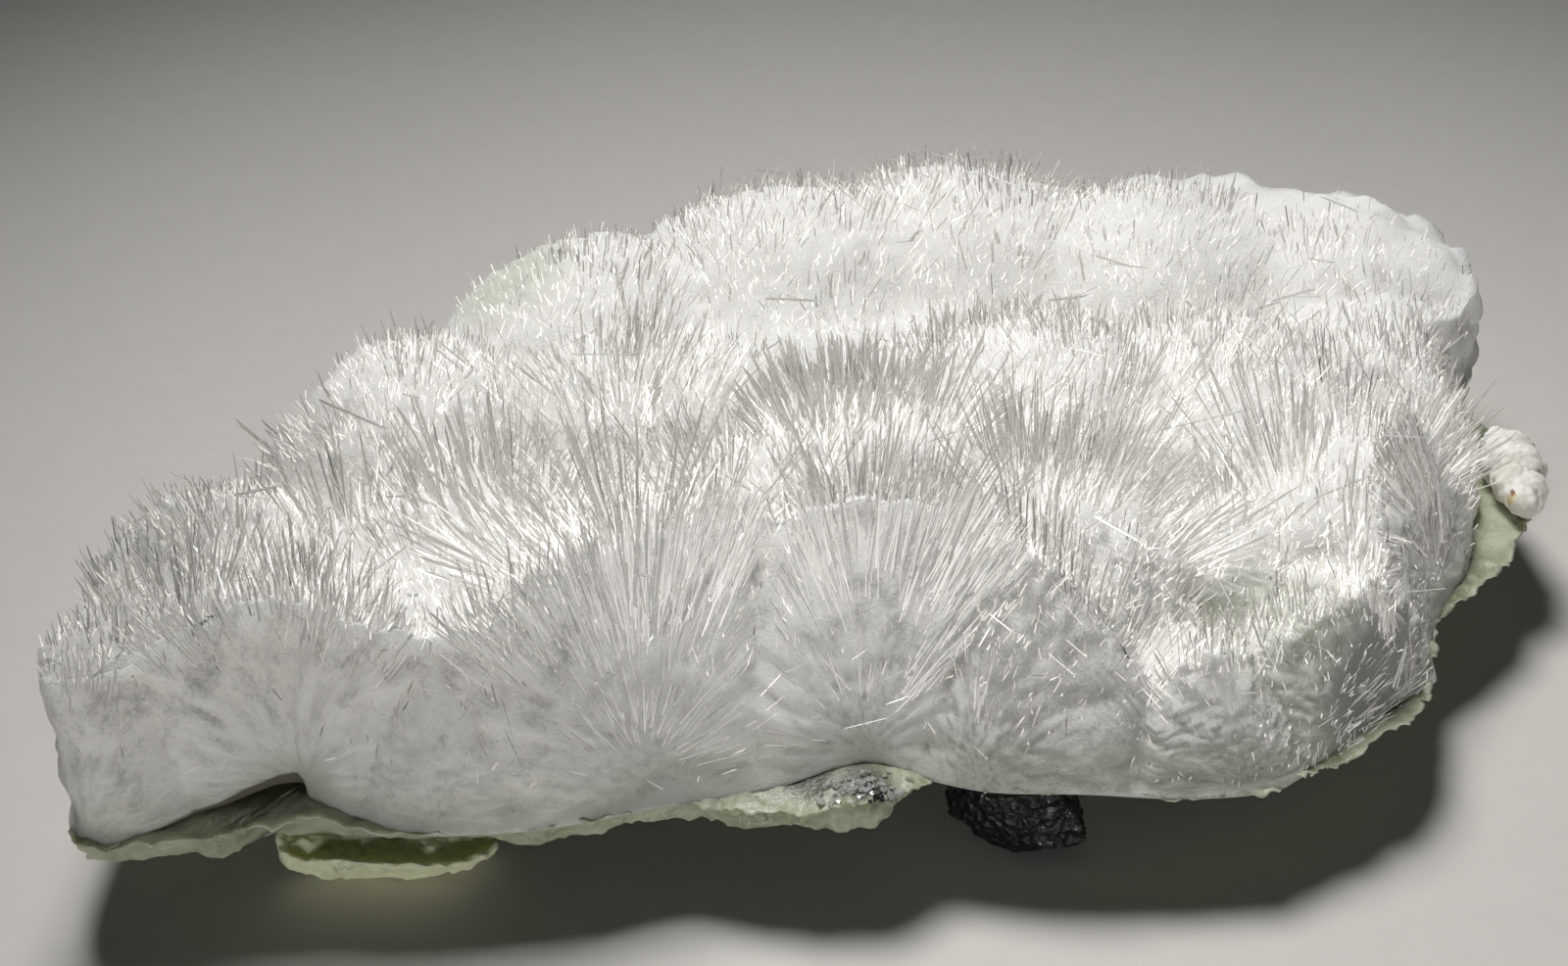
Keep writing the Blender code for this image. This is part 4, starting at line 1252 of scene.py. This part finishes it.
def add_needles(name, needles, usual, factors, rng, material, tones=(0.0, 0.4)):
    """One piece of needles from their roots, tips and facings. Clear ones are flat prisms.

    Widths are the usual ones times random factors in a range. A tone of 0 is white, and of 1 grey.
    """
    widths = usual * rng.uniform(*factors, len(needles[0])) if factors else usual
    *form, flatness = CLEAR_FORM if material.name == "clear_artinite_needles" else MILKY_FORM
    piece = laid_needles(name, needle_form(*form), *needles, widths, flatness, tones, rng)
    dress(piece, material, "artinite")
    piece.visible_shadow = False
    piece.visible_diffuse = False


class ARTINITE_OT_crust(bpy.types.Operator):
    """Build the massive part of the crust"""

    bl_idname = "artinite.crust"
    bl_label = "Crust"

    def execute(self, context):
        piece = shaped_ball("artinite_mass", CrustRows.columns, CrustRows.rows, crust_points)
        store_growth(piece)
        dress(piece, silky_artinite(context.scene.artinite_crust), "artinite", "artinite_crust")
        return {"FINISHED"}


class ARTINITE_OT_tufts(bpy.types.Operator):
    """Build the needles that stand on the crust, in tufts"""

    bl_idname = "artinite.tufts"
    bl_label = "Tufts of needles"

    def execute(self, context):
        settings = context.scene.artinite_needles
        rng = np.random.default_rng(SEED)
        front = BrokenFront()
        tufts = spread_tufts(rng)
        milky, clear = milky_fibres(settings), clear_needles(settings)
        thin = settings.width / MM
        for index in range(2):
            needles = felt_fibres(rng, settings.felt, 1.0 + 0.4 * index, front)
            add_needles(f"artinite_felt_{index}", needles, thin, (0.4, 0.8), rng, milky, (-0.2, 0.2))
            *needles, width = gathered(rng, tufts, settings.fibres, (0.25, 0.8), 0.6, front)
            usual = thin * np.minimum(width, 1.2)
            add_needles(f"artinite_fibres_{index}", needles, usual, (0.35, 0.85), rng, milky, (0.1, 0.75))
        *needles, width = gathered(rng, tufts, settings.blades, (0.4, 1.1), 1.6, front)
        add_needles("artinite_blades", needles, thin * width, (0.6, 1.4), rng, clear)
        return {"FINISHED"}


class ARTINITE_OT_front(bpy.types.Operator):
    """Build the needles laid open in the broken front, over its top edge and lying loose"""

    bl_idname = "artinite.front"
    bl_label = "Needles of the broken front"

    def execute(self, context):
        rng = np.random.default_rng(SEED + 1)
        front = BrokenFront()
        milky = bpy.data.materials["milky_artinite_fibres"]
        clear = bpy.data.materials["clear_artinite_needles"]
        thin = context.scene.artinite_needles.width / MM
        for name, count, shares, lengths, stand_off, factors, is_clear, tones in FRONT_NEEDLES:
            needles = wall_needles(rng, count, shares, lengths, stand_off, front)
            add_needles(name, needles, thin, factors, rng, clear if is_clear else milky, tones)
        *needles, widths = lying_needles(LYING_NEEDLES, LYING_LIFT, front)
        add_needles("artinite_lying_needles", needles, widths, None, rng, clear)
        *needles, widths = lying_needles(stray_needles(rng), STRAY_LIFT, front)
        add_needles("artinite_stray_needles", needles, widths, None, rng, clear)
        add_needles("artinite_broken_ends", broken_bits(rng, front), thin, (0.3, 0.7), rng, milky)
        return {"FINISHED"}


class ARTINITE_OT_plate(bpy.types.Operator):
    """Build the thin plate of serpentine, with the crystals and grains of its open pocket"""

    bl_idname = "artinite.plate"
    bl_label = "Serpentine plate"

    def execute(self, context):
        settings = context.scene.artinite_stones
        rng = np.random.default_rng(SEED + 2)
        plate = shaped_ball("serpentine_sheet", PlateRows.columns, PlateRows.rows, plate_points)
        colors = (settings.pale, settings.green, settings.olive)
        stone = waxy_serpentine("waxy_serpentine", colors, settings.hollow, PLATE_SHADE_SPOTS)
        dress(plate, stone, "serpentine", "serpentine_plate")
        tree = tree_of(plate)
        crystals = strewn_chips("pocket_crystals", rng, *POCKET_CRYSTALS, tree)
        dress(crystals, bpy.data.materials["clear_artinite_needles"], "artinite")
        grains = strewn_chips("pocket_grains", rng, *POCKET_GRAINS, tree)
        dress(grains, black_magnetite(settings), "magnetite")
        return {"FINISHED"}


class ARTINITE_OT_stones(bpy.types.Operator):
    """Build the flake and the black lump under the front edge, and the white nodule on the right"""

    bl_idname = "artinite.stones"
    bl_label = "Flake, lump and nodule"

    def execute(self, context):
        settings = context.scene.artinite_stones
        rng = np.random.default_rng(SEED + 3)
        flake = shaped_ball("serpentine_flake", Flake.columns, Flake.rows, flake_points)
        # partly painted light: the whole flake takes the lighter lip colour for the light on its front lip
        colors = (settings.lip, settings.lip, settings.pale)
        # painted shade: olive is painted at the back of the flake for the shade under the plate
        stone = waxy_serpentine("pale_serpentine", colors, settings.olive, FLAKE_SHADE_SPOTS)
        dress(flake, stone, "serpentine", "serpentine_splinter")
        dress(build_lump(rng), bpy.data.materials["black_magnetite"], "magnetite", "magnetite_lump")
        dress(build_nodule(), chalky_crust(settings), "white_crust", "white_nodule")
        return {"FINISHED"}


class ARTINITE_OT_stage(bpy.types.Operator):
    """Build the pale floor, the soft lamp and the camera"""

    bl_idname = "artinite.stage"
    bl_label = "Stage"

    def execute(self, context):
        settings = context.scene.artinite_stage
        mesh = bmesh.new()
        bmesh.ops.create_grid(mesh, x_segments=1, y_segments=1, size=FLOOR_SIZE)
        data = bpy.data.meshes.new("floor")
        mesh.to_mesh(data)
        mesh.free()
        floor = linked("floor", data)
        data.materials.append(pale_table(settings))
        scene = context.scene
        scene.view_settings.view_transform = "Standard"
        scene.world = bpy.data.worlds.new("studio")
        scene.world.use_nodes = True
        sky = scene.world.node_tree.nodes["Background"]
        sky.inputs["Color"].default_value = hex_color("FAF8F4")
        sky.inputs["Strength"].default_value = settings.sky
        soft_lamp("soft_lamp", *SOFT_LAMP, settings.lamp_size, settings.power)
        soft_lamp("low_front_fill", *FRONT_FILL, FRONT_FILL_SIZE, settings.fill)
        view = bpy.data.cameras.new("camera")
        view.lens = 50
        view.sensor_width = 36
        view.clip_start = 0.001
        eye = linked("camera", view)
        eye.location = ((DRAWING_SHIFT + CAMERA_PLACE) * MM).tolist()
        eye.rotation_euler = (math.radians(CAMERA_TILT), 0, 0)
        scene.camera = eye
        return {"FINISHED"}


OPERATORS = (
    ARTINITE_OT_crust, ARTINITE_OT_tufts, ARTINITE_OT_front, ARTINITE_OT_plate, ARTINITE_OT_stones,
    ARTINITE_OT_stage,
)
GROUPS = {
    "artinite_crust": ARTINITE_PG_crust, "artinite_needles": ARTINITE_PG_needles,
    "artinite_stones": ARTINITE_PG_stones, "artinite_stage": ARTINITE_PG_stage,
}


class ARTINITE_PT_panel(bpy.types.Panel):
    """Sizes, colours and building steps of the specimen"""

    bl_idname = "ARTINITE_PT_panel"
    bl_label = "Artinite specimen"
    bl_space_type = "VIEW_3D"
    bl_region_type = "UI"
    bl_category = "Artinite"

    def draw(self, context):
        for group in GROUPS:
            box = self.layout.box()
            settings = getattr(context.scene, group)
            for name in settings.__annotations__:
                box.prop(settings, name)
        for step in OPERATORS:
            self.layout.operator(step.bl_idname)


def register():
    """Register the classes and give the scene its settings."""
    for name, group in GROUPS.items():
        bpy.utils.register_class(group)
        setattr(bpy.types.Scene, name, bpy.props.PointerProperty(type=group))
    for made in (*OPERATORS, ARTINITE_PT_panel):
        bpy.utils.register_class(made)


def unregister():
    """Take back what register did."""
    for made in reversed((*OPERATORS, ARTINITE_PT_panel)):
        bpy.utils.unregister_class(made)
    for name, group in GROUPS.items():
        delattr(bpy.types.Scene, name)
        bpy.utils.unregister_class(group)


def main():
    """Build every piece and the stage."""
    register()
    bpy.ops.artinite.crust()
    bpy.ops.artinite.tufts()
    bpy.ops.artinite.front()
    bpy.ops.artinite.plate()
    bpy.ops.artinite.stones()
    bpy.ops.artinite.stage()


if __name__ == "__main__":
    main()
